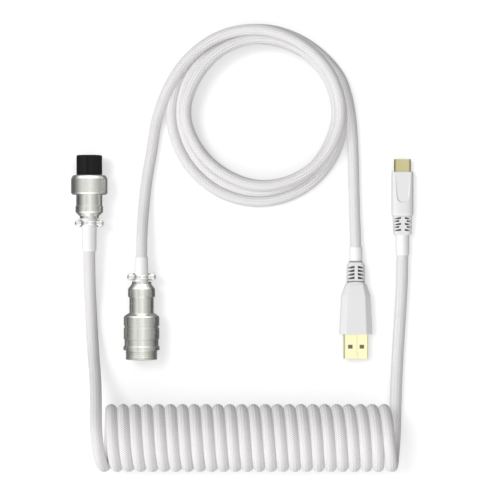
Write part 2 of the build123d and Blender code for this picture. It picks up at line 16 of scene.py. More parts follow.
import bmesh
import bpy
import numpy as np
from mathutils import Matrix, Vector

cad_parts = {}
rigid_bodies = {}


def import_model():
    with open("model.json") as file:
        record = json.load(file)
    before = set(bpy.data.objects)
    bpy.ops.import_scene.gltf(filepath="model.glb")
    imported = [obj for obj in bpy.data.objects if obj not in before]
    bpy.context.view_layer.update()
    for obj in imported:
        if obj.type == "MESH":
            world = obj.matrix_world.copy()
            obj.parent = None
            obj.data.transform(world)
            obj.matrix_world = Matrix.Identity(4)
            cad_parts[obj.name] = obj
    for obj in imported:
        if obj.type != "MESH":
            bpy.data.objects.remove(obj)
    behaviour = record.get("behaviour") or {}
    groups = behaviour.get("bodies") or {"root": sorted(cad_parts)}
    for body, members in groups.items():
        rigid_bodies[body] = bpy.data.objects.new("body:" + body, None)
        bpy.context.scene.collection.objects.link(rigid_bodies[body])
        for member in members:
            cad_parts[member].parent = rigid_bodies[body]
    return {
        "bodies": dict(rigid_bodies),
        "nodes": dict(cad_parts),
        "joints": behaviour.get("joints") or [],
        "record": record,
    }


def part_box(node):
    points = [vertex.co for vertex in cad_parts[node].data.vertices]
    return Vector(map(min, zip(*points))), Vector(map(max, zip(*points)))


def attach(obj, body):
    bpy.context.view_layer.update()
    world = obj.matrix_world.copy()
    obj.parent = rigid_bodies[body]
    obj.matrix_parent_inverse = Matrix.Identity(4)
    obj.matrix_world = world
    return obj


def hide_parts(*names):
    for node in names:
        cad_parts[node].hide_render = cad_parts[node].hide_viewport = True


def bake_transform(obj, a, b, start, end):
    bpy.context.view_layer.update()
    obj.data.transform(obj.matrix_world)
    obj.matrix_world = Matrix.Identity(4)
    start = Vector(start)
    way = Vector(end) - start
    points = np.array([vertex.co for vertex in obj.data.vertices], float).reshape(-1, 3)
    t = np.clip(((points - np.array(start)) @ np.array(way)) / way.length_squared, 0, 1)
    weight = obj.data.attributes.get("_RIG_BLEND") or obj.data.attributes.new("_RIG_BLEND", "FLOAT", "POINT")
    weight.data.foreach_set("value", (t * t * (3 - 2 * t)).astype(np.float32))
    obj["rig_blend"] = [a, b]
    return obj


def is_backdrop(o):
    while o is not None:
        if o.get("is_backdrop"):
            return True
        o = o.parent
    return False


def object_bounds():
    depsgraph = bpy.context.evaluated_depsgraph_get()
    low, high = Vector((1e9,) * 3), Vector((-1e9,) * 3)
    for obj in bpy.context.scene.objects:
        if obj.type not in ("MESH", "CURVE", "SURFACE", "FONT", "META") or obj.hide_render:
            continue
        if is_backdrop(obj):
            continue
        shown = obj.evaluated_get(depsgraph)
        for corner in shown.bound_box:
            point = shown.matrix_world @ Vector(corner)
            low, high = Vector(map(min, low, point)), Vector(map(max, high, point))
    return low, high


LOG = logging.getLogger("keyboard_cable")
MM = 0.001
FULL_TURN = 2.0 * math.pi
# Degrees between two faces from which an edge looks sharp, on common, finely shaped and tubular pieces.
SHARP, FINE_SHARP, TUBE_SHARP = 32.0, 50.0, 80.0
PER_TURN = 12  # control points in each turn of a cord
CORNER_CUT = 0.75 + 0.25 * math.cos(FULL_TURN / PER_TURN)  # how far the smooth line keeps of its corners
CORD_UV = "cord"  # the cords' UV map
BLEND = "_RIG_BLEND"
PAINTED_SHADE_ATTRIBUTE = "painted_shade"  # the attribute of painted shade in slots and grooves, from 0 to 1
Array = np.ndarray
Colour = tuple[float, float, float]
Point = tuple[float, float, float]
Pair = tuple[float, float]
Outline = tuple[Pair, ...]
Relief = Callable[[Array, Array, Array], Array]


class Body(Enum):
    """The bodies of the frame that pieces ride on."""

    COILED_LEAD = "coiled_lead"
    COUPLING_NUT = "coupling_nut"
    USB_C_END = "usb_c_end"
    STRAIGHT_LEAD = "straight_lead"


class Slot(Enum):
    """The record's material slots."""

    BRAID = "braid"
    MOULDING = "white_moulding"
    SLEEVE = "white_sleeve"
    NICKEL = "satin_nickel"
    STEEL = "spring_steel"
    GOLD = "gold_plate"
    DULL_GOLD = "dull_gold_plate"
    CONTACT = "contact_gold"
    INSERT = "black_insert"
    TONGUE = "tongue_plastic"
    INNER_MOULD = "inner_mould"
    BOARD = "circuit_board"
    WIRE = "wire_insulation"


# ---- finishes ---------------------------------------------------------------------------------
class NodeBoard:
    """The nodes of a material or a world, with short calls that add and join them."""

    def __init__(self, owner: bpy.types.Material | bpy.types.World, shader: str = "Principled BSDF") -> None:
        """Opens the owner's nodes.

        Args:
            owner: the material or the world.
            shader: the name of the shader that it starts with.
        """
        owner.use_nodes = True
        self.owner = owner
        self.tree = owner.node_tree
        self.shader = self.tree.nodes[shader]

    def add(self, kind: str, **settings: Any) -> bpy.types.Node:
        """Adds a node of that kind and sets its own properties.

        Args:
            kind: the node's type name, without its ShaderNode prefix.
            **settings: properties of the node, by name.

        Returns:
            The new node.
        """
        node = self.tree.nodes.new("ShaderNode" + kind)
        for key, value in settings.items():
            setattr(node, key, value)
        return node

    def join(self, source: Any, target: Any) -> None:
        """Links a source socket to a target socket."""
        self.tree.links.new(source, target)

    def feed(self, target: Any, value: Any) -> None:
        """Links a socket to the target, or sets the target to a plain value.

        Args:
            target: the input socket.
            value: an output socket, or a plain value.
        """
        if isinstance(value, bpy.types.NodeSocket):
            self.join(value, target)
        else:
            target.default_value = value

    def give(self, values: dict[str, Any]) -> None:
        """Feeds the shader's inputs, by name."""
        for name, value in values.items():
            self.feed(self.shader.inputs[name], value)

    def maths(self, operation: str, *values: Any) -> Any:
        """One Math node.

        Args:
            operation: the Math node's operation.
            *values: sockets or numbers for its inputs, in order.

        Returns:
            The result's socket.
        """
        node = self.add("Math", operation=operation)
        for socket, value in zip(node.inputs, values):
            self.feed(socket, value)
        return node.outputs[0]

    def spread(self, value: Any, source: Pair, target: Pair = (0.0, 1.0)) -> Any:
        """Carries a value from one range to another, held at both ends.

        Args:
            value: the value's socket.
            source: the range that it comes from.
            target: the range that it goes to.

        Returns:
            The result's socket.
        """
        node = self.add("MapRange")
        for name, number in zip(("From Min", "From Max", "To Min", "To Max"), (*source, *target)):
            node.inputs[name].default_value = number
        self.join(value, node.inputs["Value"])
        return node.outputs["Result"]

    def noise(self, scale: float, detail: float = 3.0, along: float | None = None) -> Any:
        """Noise on Object coordinates.

        Args:
            scale: features in each metre.
            detail: how many finer noises are added.
            along: the scale along Y, where it is another one.

        Returns:
            The socket of its value, from 0 to 1.
        """
        place = self.add("TexCoord")
        stretch = self.add("Mapping")
        stretch.inputs["Scale"].default_value = (scale, scale if along is None else along, scale)
        texture = self.add("TexNoise")
        texture.inputs["Scale"].default_value = 1.0
        texture.inputs["Detail"].default_value = detail
        self.join(place.outputs["Object"], stretch.inputs["Vector"])
        self.join(stretch.outputs["Vector"], texture.inputs["Vector"])
        return texture.outputs["Fac"]

    def between(self, mix: Any, low: Any, high: Any) -> Any:
        """The colour between two colours.

        Args:
            mix: the socket of a value, 0 for the first colour and 1 for the second.
            low: the first colour, or its socket.
            high: the second colour, or its socket.

        Returns:
            The result's socket.
        """
        blend = self.add("Mix", data_type="RGBA")
        self.join(mix, blend.inputs[0])
        targets = [socket for socket in blend.inputs if socket.type == "RGBA"]
        for target, colour in zip(targets, (low, high)):
            self.feed(target, (*colour, 1.0) if isinstance(colour, tuple) else colour)
        return next(socket for socket in blend.outputs if socket.type == "RGBA")

    def bump(self, height: Any, depth: float) -> None:
        """Gives the shader a relief.

        Args:
            height: the socket of its height.
            depth: how deep a height of 1 is, in millimetres.
        """
        bump = self.add("Bump")
        bump.inputs["Strength"].default_value = 1.0
        bump.inputs["Distance"].default_value = depth * MM
        self.join(height, bump.inputs["Height"])
        self.join(bump.outputs["Normal"], self.shader.inputs["Normal"])


@dataclass(frozen=True)
class TurnedMetal:
    """Plated metal with fine lathe lines round the connector's axis. Scales are features in a metre."""

    name: str
    low: Colour
    high: Colour
    roughness: Pair
    line_depth: float = 0.0006
    line_width: float = 0.3
    line_scale: float = 25.0  # round the axis
    grain_scale: float = 7000.0
    grain_share: float = 0.3  # of the relief
    cloud_scale: float = 160.0
    cloud_range: Pair = (0.3, 0.7)

    def build(self) -> bpy.types.Material:
        """Makes faint lines stretched round the axis, and cloudy colour and roughness.

        Returns:
            The material.
        """
        board = NodeBoard(bpy.data.materials.new(self.name))
        lines = board.noise(self.line_scale, along=1.0 / (self.line_width * MM))
        grain = board.noise(self.grain_scale, 2.0)
        cloudy = board.noise(self.cloud_scale)
        board.give({
            "Base Color": board.between(cloudy, self.low, self.high), "Metallic": 1.0,
            "Roughness": board.spread(cloudy, self.cloud_range, self.roughness),
        })
        board.bump(board.maths("MULTIPLY_ADD", grain, self.grain_share, lines), self.line_depth)
        return board.owner


@dataclass(frozen=True)
class Moulding:
    """Moulded plastic or rubber: an even colour with a fine spark-eroded grain, and painted shade in slots
    and grooves.
    """

    name: str
    low: Colour
    high: Colour
    roughness: float
    grain: float = 0.16  # size of the grain
    depth: float = 0.006
    coat: float = 0.0
    coat_roughness: float = 0.25
    shine: float = 0.5  # the specular level, 0.5 for common plastic
    painted_shade: float = 0.12  # painted shade: how bright the floor of a slot or groove is painted, as a share of the open surface
    cloud_scale: float = 90.0  # features in a metre

    def build(self) -> bpy.types.Material:
        """Makes a cloudy colour, painted shade in slots and grooves, and a fine grain.

        Returns:
            The material.
        """
        board = NodeBoard(bpy.data.materials.new(self.name))
        cloudy = board.between(board.noise(self.cloud_scale), self.low, self.high)
        # Painted shade: the mask of slots and grooves darkens the colour towards that of a shaded slot floor.
        slots = board.add("Attribute", attribute_name=PAINTED_SHADE_ATTRIBUTE)
        deep = tuple(self.painted_shade * channel for channel in self.low)
        board.give({
            "Base Color": board.between(slots.outputs["Fac"], cloudy, deep), "Roughness": self.roughness,
            "Specular IOR Level": self.shine, "Coat Weight": self.coat, "Coat Roughness": self.coat_roughness,
        })
        board.bump(board.noise(1.0 / (self.grain * MM), 2.0), self.depth)
        return board.owner


@dataclass(frozen=True)
class Braid:
    """Plain diamond braid of fine white yarn over a cord, on the cord's own UV map.

    U goes once round the cord and V is metres along it. The yarns are two families of helices,
    a = N u + v / p and b = N u - v / p, and each diamond belongs to the family that is on top there.
    """

    name: str
    yarn: Colour
    shadow: Colour
    carriers: int = 12  # N, the yarns in each family
    pitch: float = 0.95  # p, along the cord from one yarn to the next
    depth: float = 0.28
    fibre_scale: float = 9000.0  # features in a metre
    fibre_share: float = 0.25  # of the relief
    shaded: Pair = (0.25, 0.95)  # heights where a yarn's colour starts and is full

    def build(self) -> bpy.types.Material:
        """Makes the relief, painted shade in the gaps and a little sheen.

        Returns:
            The material.
        """
        board = NodeBoard(bpy.data.materials.new(self.name))
        split = board.add("SeparateXYZ")
        board.join(board.add("UVMap", uv_map=CORD_UV).outputs["UV"], split.inputs[0])
        around = board.maths("MULTIPLY", split.outputs["X"], float(self.carriers))
        along = board.maths("DIVIDE", split.outputs["Y"], self.pitch * MM)
        first, second = board.maths("ADD", around, along), board.maths("SUBTRACT", around, along)
        cells = board.maths("ADD", board.maths("FLOOR", first), board.maths("FLOOR", second))
        odd = board.maths("FLOORED_MODULO", cells, 2.0)
        top = board.maths("MULTIPLY", odd, self.ridge(board, first))
        under = board.maths("MULTIPLY", board.maths("SUBTRACT", 1.0, odd), self.ridge(board, second))
        fibre = board.noise(self.fibre_scale, 2.0)
        height = board.maths("MULTIPLY_ADD", fibre, self.fibre_share, board.maths("ADD", top, under))
        board.give({
            "Base Color": board.between(board.spread(height, self.shaded), self.shadow, self.yarn),
            "Roughness": 0.72, "Sheen Weight": 0.25, "Sheen Roughness": 0.5,
        })
        board.bump(height, self.depth)
        return board.owner

    @staticmethod
    def ridge(board: NodeBoard, place: Any) -> Any:
        """A yarn's rounded height, |sin(pi a)|, from its helix coordinate."""
        return board.maths("ABSOLUTE", board.maths("SINE", board.maths("MULTIPLY", place, math.pi)))


FINISHES: dict[Slot, Any] = {
    Slot.BRAID: Braid("braid_white", (0.94, 0.93, 0.937), (0.58, 0.555, 0.572)),
    Slot.MOULDING: Moulding("moulding_white", (0.66, 0.66, 0.665), (0.69, 0.69, 0.695), 0.36, coat=0.1),
    Slot.SLEEVE: Moulding("sleeve_white", (0.76, 0.76, 0.765), (0.80, 0.80, 0.805), 0.42, grain=0.4),
    Slot.NICKEL: TurnedMetal("nickel_satin", (0.74, 0.74, 0.70), (0.79, 0.79, 0.75), (0.24, 0.28)),
    Slot.STEEL: TurnedMetal("steel_bright", (0.84, 0.84, 0.82), (0.90, 0.90, 0.88), (0.14, 0.20), 0.0003),
    Slot.GOLD: TurnedMetal("gold_pale", (0.96, 0.92, 0.56), (0.98, 0.95, 0.62), (0.28, 0.36), 0.0004),
    Slot.DULL_GOLD: TurnedMetal("gold_dull", (0.56, 0.51, 0.27), (0.62, 0.57, 0.32), (0.30, 0.40), 0.0004),
    Slot.CONTACT: TurnedMetal("gold_contact", (0.86, 0.66, 0.28), (0.92, 0.74, 0.36), (0.18, 0.28), 0.0004),
    Slot.INSERT: Moulding("insert_black", (0.004, 0.004, 0.004), (0.009, 0.009, 0.009), 0.5, shine=0.2),
    # Painted shade: the tongue is given a dark colour so that the shell's windows read as shaded inside.
    Slot.TONGUE: Moulding("tongue_painted_shade", (0.10, 0.09, 0.07), (0.14, 0.13, 0.10), 0.4),
    Slot.INNER_MOULD: Moulding("mould_natural", (0.58, 0.57, 0.53), (0.66, 0.65, 0.61), 0.5),
    Slot.BOARD: Moulding("board_green", (0.02, 0.16, 0.06), (0.03, 0.22, 0.09), 0.3, grain=0.5, coat=0.4),
    Slot.WIRE: Moulding("wire_grey", (0.55, 0.55, 0.55), (0.64, 0.64, 0.64), 0.35, grain=0.3),
}


# ---- surfaces ---------------------------------------------------------------------------------
def in_scene(name: str, data: bpy.types.ID) -> bpy.types.Object:
    """Puts a new object at the scene's origin.

    Args:
        name: the object's name.
        data: its mesh, light or camera.

    Returns:
        The object.
    """
    made = bpy.data.objects.new(name, data)
    bpy.context.scene.collection.objects.link(made)
    return made


@dataclass(frozen=True)
class Surface:
    """Vertices in metres and faces, some of four corners and some of three."""

    vertices: Array
    quads: Array
    triangles: Array = field(default_factory=lambda: np.zeros((0, 3), int))
    uv: Array | None = None  # one row for each corner of the quads, then of the triangles
    painted_shade: Array | None = None  # painted shade in slots and grooves, one value for each vertex

    def volume(self) -> float:
        """The enclosed volume, from the sum of its faces' corner products.

        Returns:
            Cubic metres, below 0 if the surface is inside out.
        """
        halves = [self.quads[:, [0, 1, 2]], self.quads[:, [0, 2, 3]], self.triangles]
        a, b, c = (self.vertices[np.vstack(halves)[:, corner]] for corner in range(3))
        return float(np.einsum("ij,ij->", a, np.cross(b, c)) / 6.0)

    def outward(self) -> "Surface":
        """The same surface with every face pointing out.

        Returns:
            This surface, or one with its corners in the other order.
        """
        if self.volume() >= 0:
            return self
        return Surface(self.vertices, self.quads[:, ::-1], self.triangles[:, ::-1], self.uv, self.painted_shade)

    def piece(self, name: str, crease: float = SHARP) -> bpy.types.Object:
        """Makes the object.

        Args:
            name: the piece's name.
            crease: degrees between two faces from which their edge looks sharp.

        Returns:
            The object, at the origin.
        """
        mesh = bpy.data.meshes.new(name)
        corners = np.concatenate([self.quads.ravel(), self.triangles.ravel()])
        starts = np.concatenate([np.arange(len(self.quads)) * 4,
                                 len(self.quads) * 4 + np.arange(len(self.triangles)) * 3])
        mesh.vertices.add(len(self.vertices))
        mesh.vertices.foreach_set("co", self.vertices.astype(np.float32).ravel())
        mesh.loops.add(len(corners))
        mesh.loops.foreach_set("vertex_index", corners.astype(np.int32))
        mesh.polygons.add(len(starts))
        mesh.polygons.foreach_set("loop_start", starts.astype(np.int32))
        mesh.update(calc_edges=True)
        if self.uv is not None:
            mesh.uv_layers.new(name=CORD_UV).data.foreach_set("uv", self.uv.astype(np.float32).ravel())
        # painted shade in slots and grooves is kept as a per-vertex attribute
        if self.painted_shade is not None:
            shade_values = mesh.attributes.new(PAINTED_SHADE_ATTRIBUTE, "FLOAT", "POINT")
            shade_values.data.foreach_set("value", self.painted_shade.astype(np.float32))
        mesh.validate()
        mesh.shade_smooth()
        mesh.set_sharp_from_angle(angle=math.radians(crease))
        return in_scene(name, mesh)


def grid_faces(rows: int, columns: int, close_rows: bool) -> Array:
    """Quads of a grid that closes round its columns.

    Args:
        rows: the grid's rows.
        columns: its columns.
        close_rows: whether the last row joins the first.

    Returns:
        Four vertex numbers for each quad.
    """
    last = rows if close_rows else rows - 1
    row, column = np.meshgrid(np.arange(last), np.arange(columns), indexing="ij")
    next_row, next_column = (row + 1) % rows, (column + 1) % columns
    corners = (row * columns + column, row * columns + next_column,
               next_row * columns + next_column, next_row * columns + column)
    return np.stack([corner.ravel() for corner in corners], axis=1)


def capped(rings: Array) -> Surface:
    """A closed surface from rings of points, with a middle point at each end.

    Args:
        rings: points in metres, rings by points by 3.

    Returns:
        The surface: the rings' quads, then a fan at each end.
    """
    rows, columns = rings.shape[:2]
    ends = np.stack([rings[0].mean(axis=0), rings[-1].mean(axis=0)])
    near = np.arange(columns)
    after = (near + 1) % columns
    last = (rows - 1) * columns
    first_pole, last_pole = rows * columns, rows * columns + 1
    caps = np.vstack([np.stack([after, near, np.full(columns, first_pole)], axis=1),
                      np.stack([last + near, last + after, np.full(columns, last_pole)], axis=1)])
    vertices = np.vstack([rings.reshape(-1, 3), ends])
    return Surface(vertices, grid_faces(rows, columns, False), caps)


def joined(*surfaces: Surface) -> Surface:
    """Several closed surfaces as one.

    Args:
        *surfaces: surfaces with no UV map and no painted shade.

    Returns:
        One surface with all their faces.
    """
    steps = np.cumsum([0] + [len(surface.vertices) for surface in surfaces[:-1]])
    return Surface(np.vstack([surface.vertices for surface in surfaces]),
                   np.vstack([surface.quads + step for surface, step in zip(surfaces, steps)]),
                   np.vstack([surface.triangles + step for surface, step in zip(surfaces, steps)]))


def rounded_outline(corners: Outline, radius: float, steps: int = 4, most: float = 0.4) -> Array:
    """A closed outline with its corners rounded.

    Each corner P gives way to the curve (1-t)^2 A + 2t(1-t) P + t^2 B, where A and B lie on its two
    edges at the radius from P, or at the most share of the edge if that is less.

    Args:
        corners: the outline's corners, as (radius, distance) pairs.
        radius: how far from each corner the rounding starts.
        steps: points for each corner.
        most: the largest share of an edge that a rounding takes.

    Returns:
        The outline's points, one row each.
    """
    points = np.asarray(corners, float)
    to_last, to_next = np.roll(points, 1, axis=0) - points, np.roll(points, -1, axis=0) - points
    far_last, far_next = (np.linalg.norm(edge, axis=1, keepdims=True) for edge in (to_last, to_next))
    start = points + to_last / far_last * np.minimum(radius, most * far_last)
    end = points + to_next / far_next * np.minimum(radius, most * far_next)
    t = np.linspace(0.0, 1.0, steps)[None, :, None]
    curve = (1 - t) ** 2 * start[:, None] + 2 * t * (1 - t) * points[:, None] + t ** 2 * end[:, None]
    return curve.reshape(-1, 2)


def divided(outline: Array, longest: float) -> Array:
    """The outline with its long edges divided evenly.

    Args:
        outline: its points, one row each.
        longest: the most that an edge may measure.

    Returns:
        The outline's points and the new ones, in order.
    """
    runs = []
    for start, end in zip(outline, np.roll(outline, -1, axis=0)):
        pieces = max(1, math.ceil(np.linalg.norm(end - start) / longest))
        share = np.arange(pieces)[:, None] / pieces
        runs.append(start + (end - start) * share)
    return np.vstack(runs)


def smooth_step(low: float, high: float, value: Array) -> Array:
    """3t^2 - 2t^3, where t goes from 0 at low to 1 at high."""
    t = np.clip((value - low) / (high - low), 0.0, 1.0)
    return t * t * (3.0 - 2.0 * t)


def band(value: Array, low: Any, high: Any, edge: float) -> Array:
    """A soft-edged band.

    Args:
        value: what is tested.
        low: where the band starts, a number or an array.
        high: where it ends.
        edge: how wide each of its soft edges is.

    Returns:
        1 between low and high, and 0 outside.
    """
    rise = np.clip((value - low) / edge + 0.5, 0.0, 1.0)
    fall = np.clip((high - value) / edge + 0.5, 0.0, 1.0)
    return rise * fall


def half_planes(angle: Array, normals: Array, distances: Array, sharpness: float) -> Array:
    """Radius of a soft-cornered convex outline at each angle.

    r = (sum of max(0, cos(a - n) / d)^k)^(-1/k), over its sides' normals n and distances d. A larger
    k makes the corners sharper.

    Args:
        angle: angles round the axis, one column each.
        normals: the sides' normal angles, rows by sides.
        distances: the sides' distances from the axis, rows by sides.
        sharpness: k.

    Returns:
        Radii, rows by columns.
    """
    facing = np.maximum(np.cos(angle[None, :, None] - normals[:, None, :]), 0.0)
    return np.sum((facing / distances[:, None, :]) ** sharpness, axis=2) ** (-1.0 / sharpness)


def four_sides(wide: Array, high: Array) -> tuple[Array, Array]:
    """Normals and distances of an upright rectangle's sides, for rows of widths and heights."""
    normals = np.radians([0.0, 90.0, 180.0, 270.0]) + np.zeros((len(wide), 1))
    return normals, np.stack([wide, high, wide, high], axis=1) / 2


@dataclass(frozen=True)
class Axis:
    """A connector's axis along Y, in millimetres: where its tip is and which way its cord leaves."""

    x: float
    z: float
    tip_y: float
    inward: int

    @classmethod
    def of_node(cls, node: str, inward: int) -> "Axis":
        """The axis through the middle of a node that starts at the connector's tip.

        Args:
            node: the frame node.
            inward: 1 if the cord leaves towards +Y, or -1.

        Returns:
            The axis.
        """
        low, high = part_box(node)
        tip = low.y if inward > 0 else high.y
        return cls((low.x + high.x) / 2 / MM, (low.z + high.z) / 2 / MM, tip / MM, inward)

    def place(self, across: Array, along: Array, up: Array) -> Array:
        """Points in metres from distances across, from the tip and up, whose shapes agree."""
        across, along, up = np.broadcast_arrays(across, along, up)
        return np.stack([self.x + across, self.tip_y + self.inward * along, self.z + up], axis=-1) * MM

    def lathe(self, outline: Array, segments: int, relief: Relief | None = None) -> Surface:
        """A ring turned about the axis from a closed outline.

        x = r cos a and z = r sin a, with r the outline's radius plus the relief.

        Args:
            outline: (radius, distance from the tip) rows.
            segments: columns round the axis.
            relief: a change of radius from (radius, distance, angle), or None.

        Returns:
            The closed surface.
        """
        angle = np.arange(segments)[None, :] * FULL_TURN / segments
        radius, along = outline[:, :1], outline[:, 1:]
        if relief is not None:
            radius = radius + relief(radius, along, angle)
        points = self.place(radius * np.cos(angle), along + 0.0 * angle, radius * np.sin(angle))
        return Surface(points.reshape(-1, 3), grid_faces(len(outline), segments, True)).outward()

    def loft(self, along: Array, radius: Array) -> Surface:
        """A closed body from a table of radii.

        Args:
            along: each row's distance from the tip.
            radius: rows along the axis by columns round it.

        Returns:
            The closed surface.
        """
        angle = np.arange(radius.shape[1])[None, :] * FULL_TURN / radius.shape[1]
        rings = self.place(radius * np.cos(angle), along[:, None], radius * np.sin(angle))
        return capped(rings).outward()


# ---- fitting pieces to the frame --------------------------------------------------------------
class Workshop:
    """Holds the loaded frame and the built finishes, and fits pieces to them."""

    WELD = 1e-6  # metres between points of a frame node that are one
    TOO_SHORT = 1e-7  # metres of an edge that goes
    FLAT = math.radians(0.6)  # between faces that become one

    def __init__(self) -> None:
        """Loads the frame, keeps its box, builds each finish and dresses every frame node in one."""
        self.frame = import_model()
        self.frame_box = [list(corner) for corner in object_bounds()]
        self.materials = {slot: finish.build() for slot, finish in FINISHES.items()}
        for subpart in self.frame["record"]["subparts"]:
            node = self.frame["nodes"][subpart["node"]]
            self.paint(node, Slot(subpart["material_slot"]))

    def paint(self, piece: bpy.types.Object, slot: Slot) -> None:
        """Gives a piece one finish all over."""
        piece.data.materials.clear()
        piece.data.materials.append(self.materials[slot])

    def fit(self, piece: bpy.types.Object, body: Body, slot: Slot, *nodes: str) -> None:
        """Paints a piece, makes it ride on a body, and lets it stand for frame nodes.

        Args:
            piece: the new piece.
            body: the body that it rides on.
            slot: its finish.
            *nodes: the frame nodes that it replaces.
        """
        self.paint(piece, slot)
        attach(piece, body.value)
        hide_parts(*nodes)
        LOG.info("%s: %d faces for %s", piece.name, len(piece.data.polygons), ", ".join(nodes))

    def ease(self, node: str, width: float, body: Body, slot: Slot) -> None:
        """Fits a copy of a frame node, welded, with its sharp edges eased.

        Args:
            node: the frame node.
            width: how wide the eased edges are, in millimetres.
            body: the body that the copy rides on.
            slot: its finish.
        """
        mesh = self.frame["nodes"][node].data.copy()
        work = bmesh.new()
        work.from_mesh(mesh)
        bmesh.ops.remove_doubles(work, verts=work.verts, dist=self.WELD)
        bmesh.ops.dissolve_degenerate(work, dist=self.TOO_SHORT, edges=work.edges)
        bmesh.ops.dissolve_limit(work, angle_limit=self.FLAT, verts=work.verts, edges=work.edges)
        work.to_mesh(mesh)
        work.free()
        custom = mesh.attributes.get("custom_normal")
        if custom is not None:
            mesh.attributes.remove(custom)
        mesh.shade_smooth()
        mesh.set_sharp_from_angle(angle=math.radians(SHARP))
        copy = in_scene(node + "_eased", mesh)
        easing = copy.modifiers.new("eased edges", "BEVEL")
        settings = {"width": width * MM, "segments": 2, "limit_method": "ANGLE",
                    "angle_limit": math.radians(SHARP), "use_clamp_overlap": True, "harden_normals": True}
        for name, value in settings.items():
            setattr(easing, name, value)
        self.fit(copy, body, slot, node)


# ---- cords ------------------------------------------------------------------------------------
@dataclass(frozen=True)
class Cord:
    """A braided cord along a NURBS route."""

    name: str
    radius: float  # millimetres
    reference: Point  # a direction that the cord never takes, which steadies the tube
    exit: Point  # metres, where it leaves its sleeve
    steps: int = 8  # points on the line for each point of the route
    sides: int = 24

    def line(self, route: Array) -> Array:
        """Points of the smooth line through the route.

        Args:
            route: control points in metres, one row each.

        Returns:
            Points along the NURBS spline, in order, in metres.
        """
        curve = bpy.data.curves.new(self.name + "_route", "CURVE")
        curve.dimensions = "3D"
        curve.resolution_u = self.steps
        spline = curve.splines.new("NURBS")
        spline.points.add(len(route) - 1)
        spline.points.foreach_set("co", np.column_stack([route, np.ones(len(route))]).ravel())
        spline.order_u = 3
        spline.use_endpoint_u = True
        holder = bpy.data.objects.new(self.name + "_route", curve)
        mesh = bpy.data.meshes.new_from_object(holder)
        points = np.zeros(len(mesh.vertices) * 3)
        mesh.vertices.foreach_get("co", points)
        bpy.data.objects.remove(holder)
        bpy.data.curves.remove(curve)
        bpy.data.meshes.remove(mesh)
        return points.reshape(-1, 3)

    def tube(self, line: Array) -> bpy.types.Object:
        """Makes the cord's skin round its line, with U once round it and V in metres along it.

        At each point, the side vector is the reference without its part along the cord, and the third
        vector is their cross product. A ring is radius * (cos a * side + sin a * third) about the line.

        Args:
            line: the points that the tube follows, in metres.

        Returns:
            The cord's object.
        """
        along = np.gradient(line, axis=0)
        along /= np.linalg.norm(along, axis=1, keepdims=True)
        side = np.asarray(self.reference, float) - along * (along @ np.asarray(self.reference))[:, None]
        side /= np.linalg.norm(side, axis=1, keepdims=True)
        third = np.cross(along, side)
        angle = (np.arange(self.sides) * FULL_TURN / self.sides)[None, :, None]
        spokes = np.cos(angle) * side[:, None] + np.sin(angle) * third[:, None]
        bare = capped(line[:, None] + self.radius * MM * spokes)
        travelled = np.concatenate([[0.0], np.cumsum(np.linalg.norm(np.diff(line, axis=0), axis=1))])
        row, column = np.meshgrid(np.arange(len(line) - 1), np.arange(self.sides), indexing="ij")
        around = np.stack([column, column + 1, column + 1, column], axis=-1) / self.sides
        onward = travelled[np.stack([row, row, row + 1, row + 1], axis=-1)]
        quad_uv = np.stack([around, onward], axis=-1).reshape(-1, 4, 2)
        if bare.volume() < 0:
            bare, quad_uv = bare.outward(), quad_uv[:, ::-1]
        uv = np.vstack([quad_uv.reshape(-1, 2), np.zeros((len(bare.triangles) * 3, 2))])
        return Surface(bare.vertices, bare.quads, bare.triangles, uv).piece(self.name, TUBE_SHARP)

    def declare(self, cord: bpy.types.Object, line: Array, lay: str, sleeves: list[str]) -> None:
        """Takes the cord and its details, and does nothing with them.

        Args:
            cord: the cord's object; not used.
            line: the points that it follows, in metres; not used.
            lay: how it lies; not used.
            sleeves: the pieces that it runs into; not used.
        """


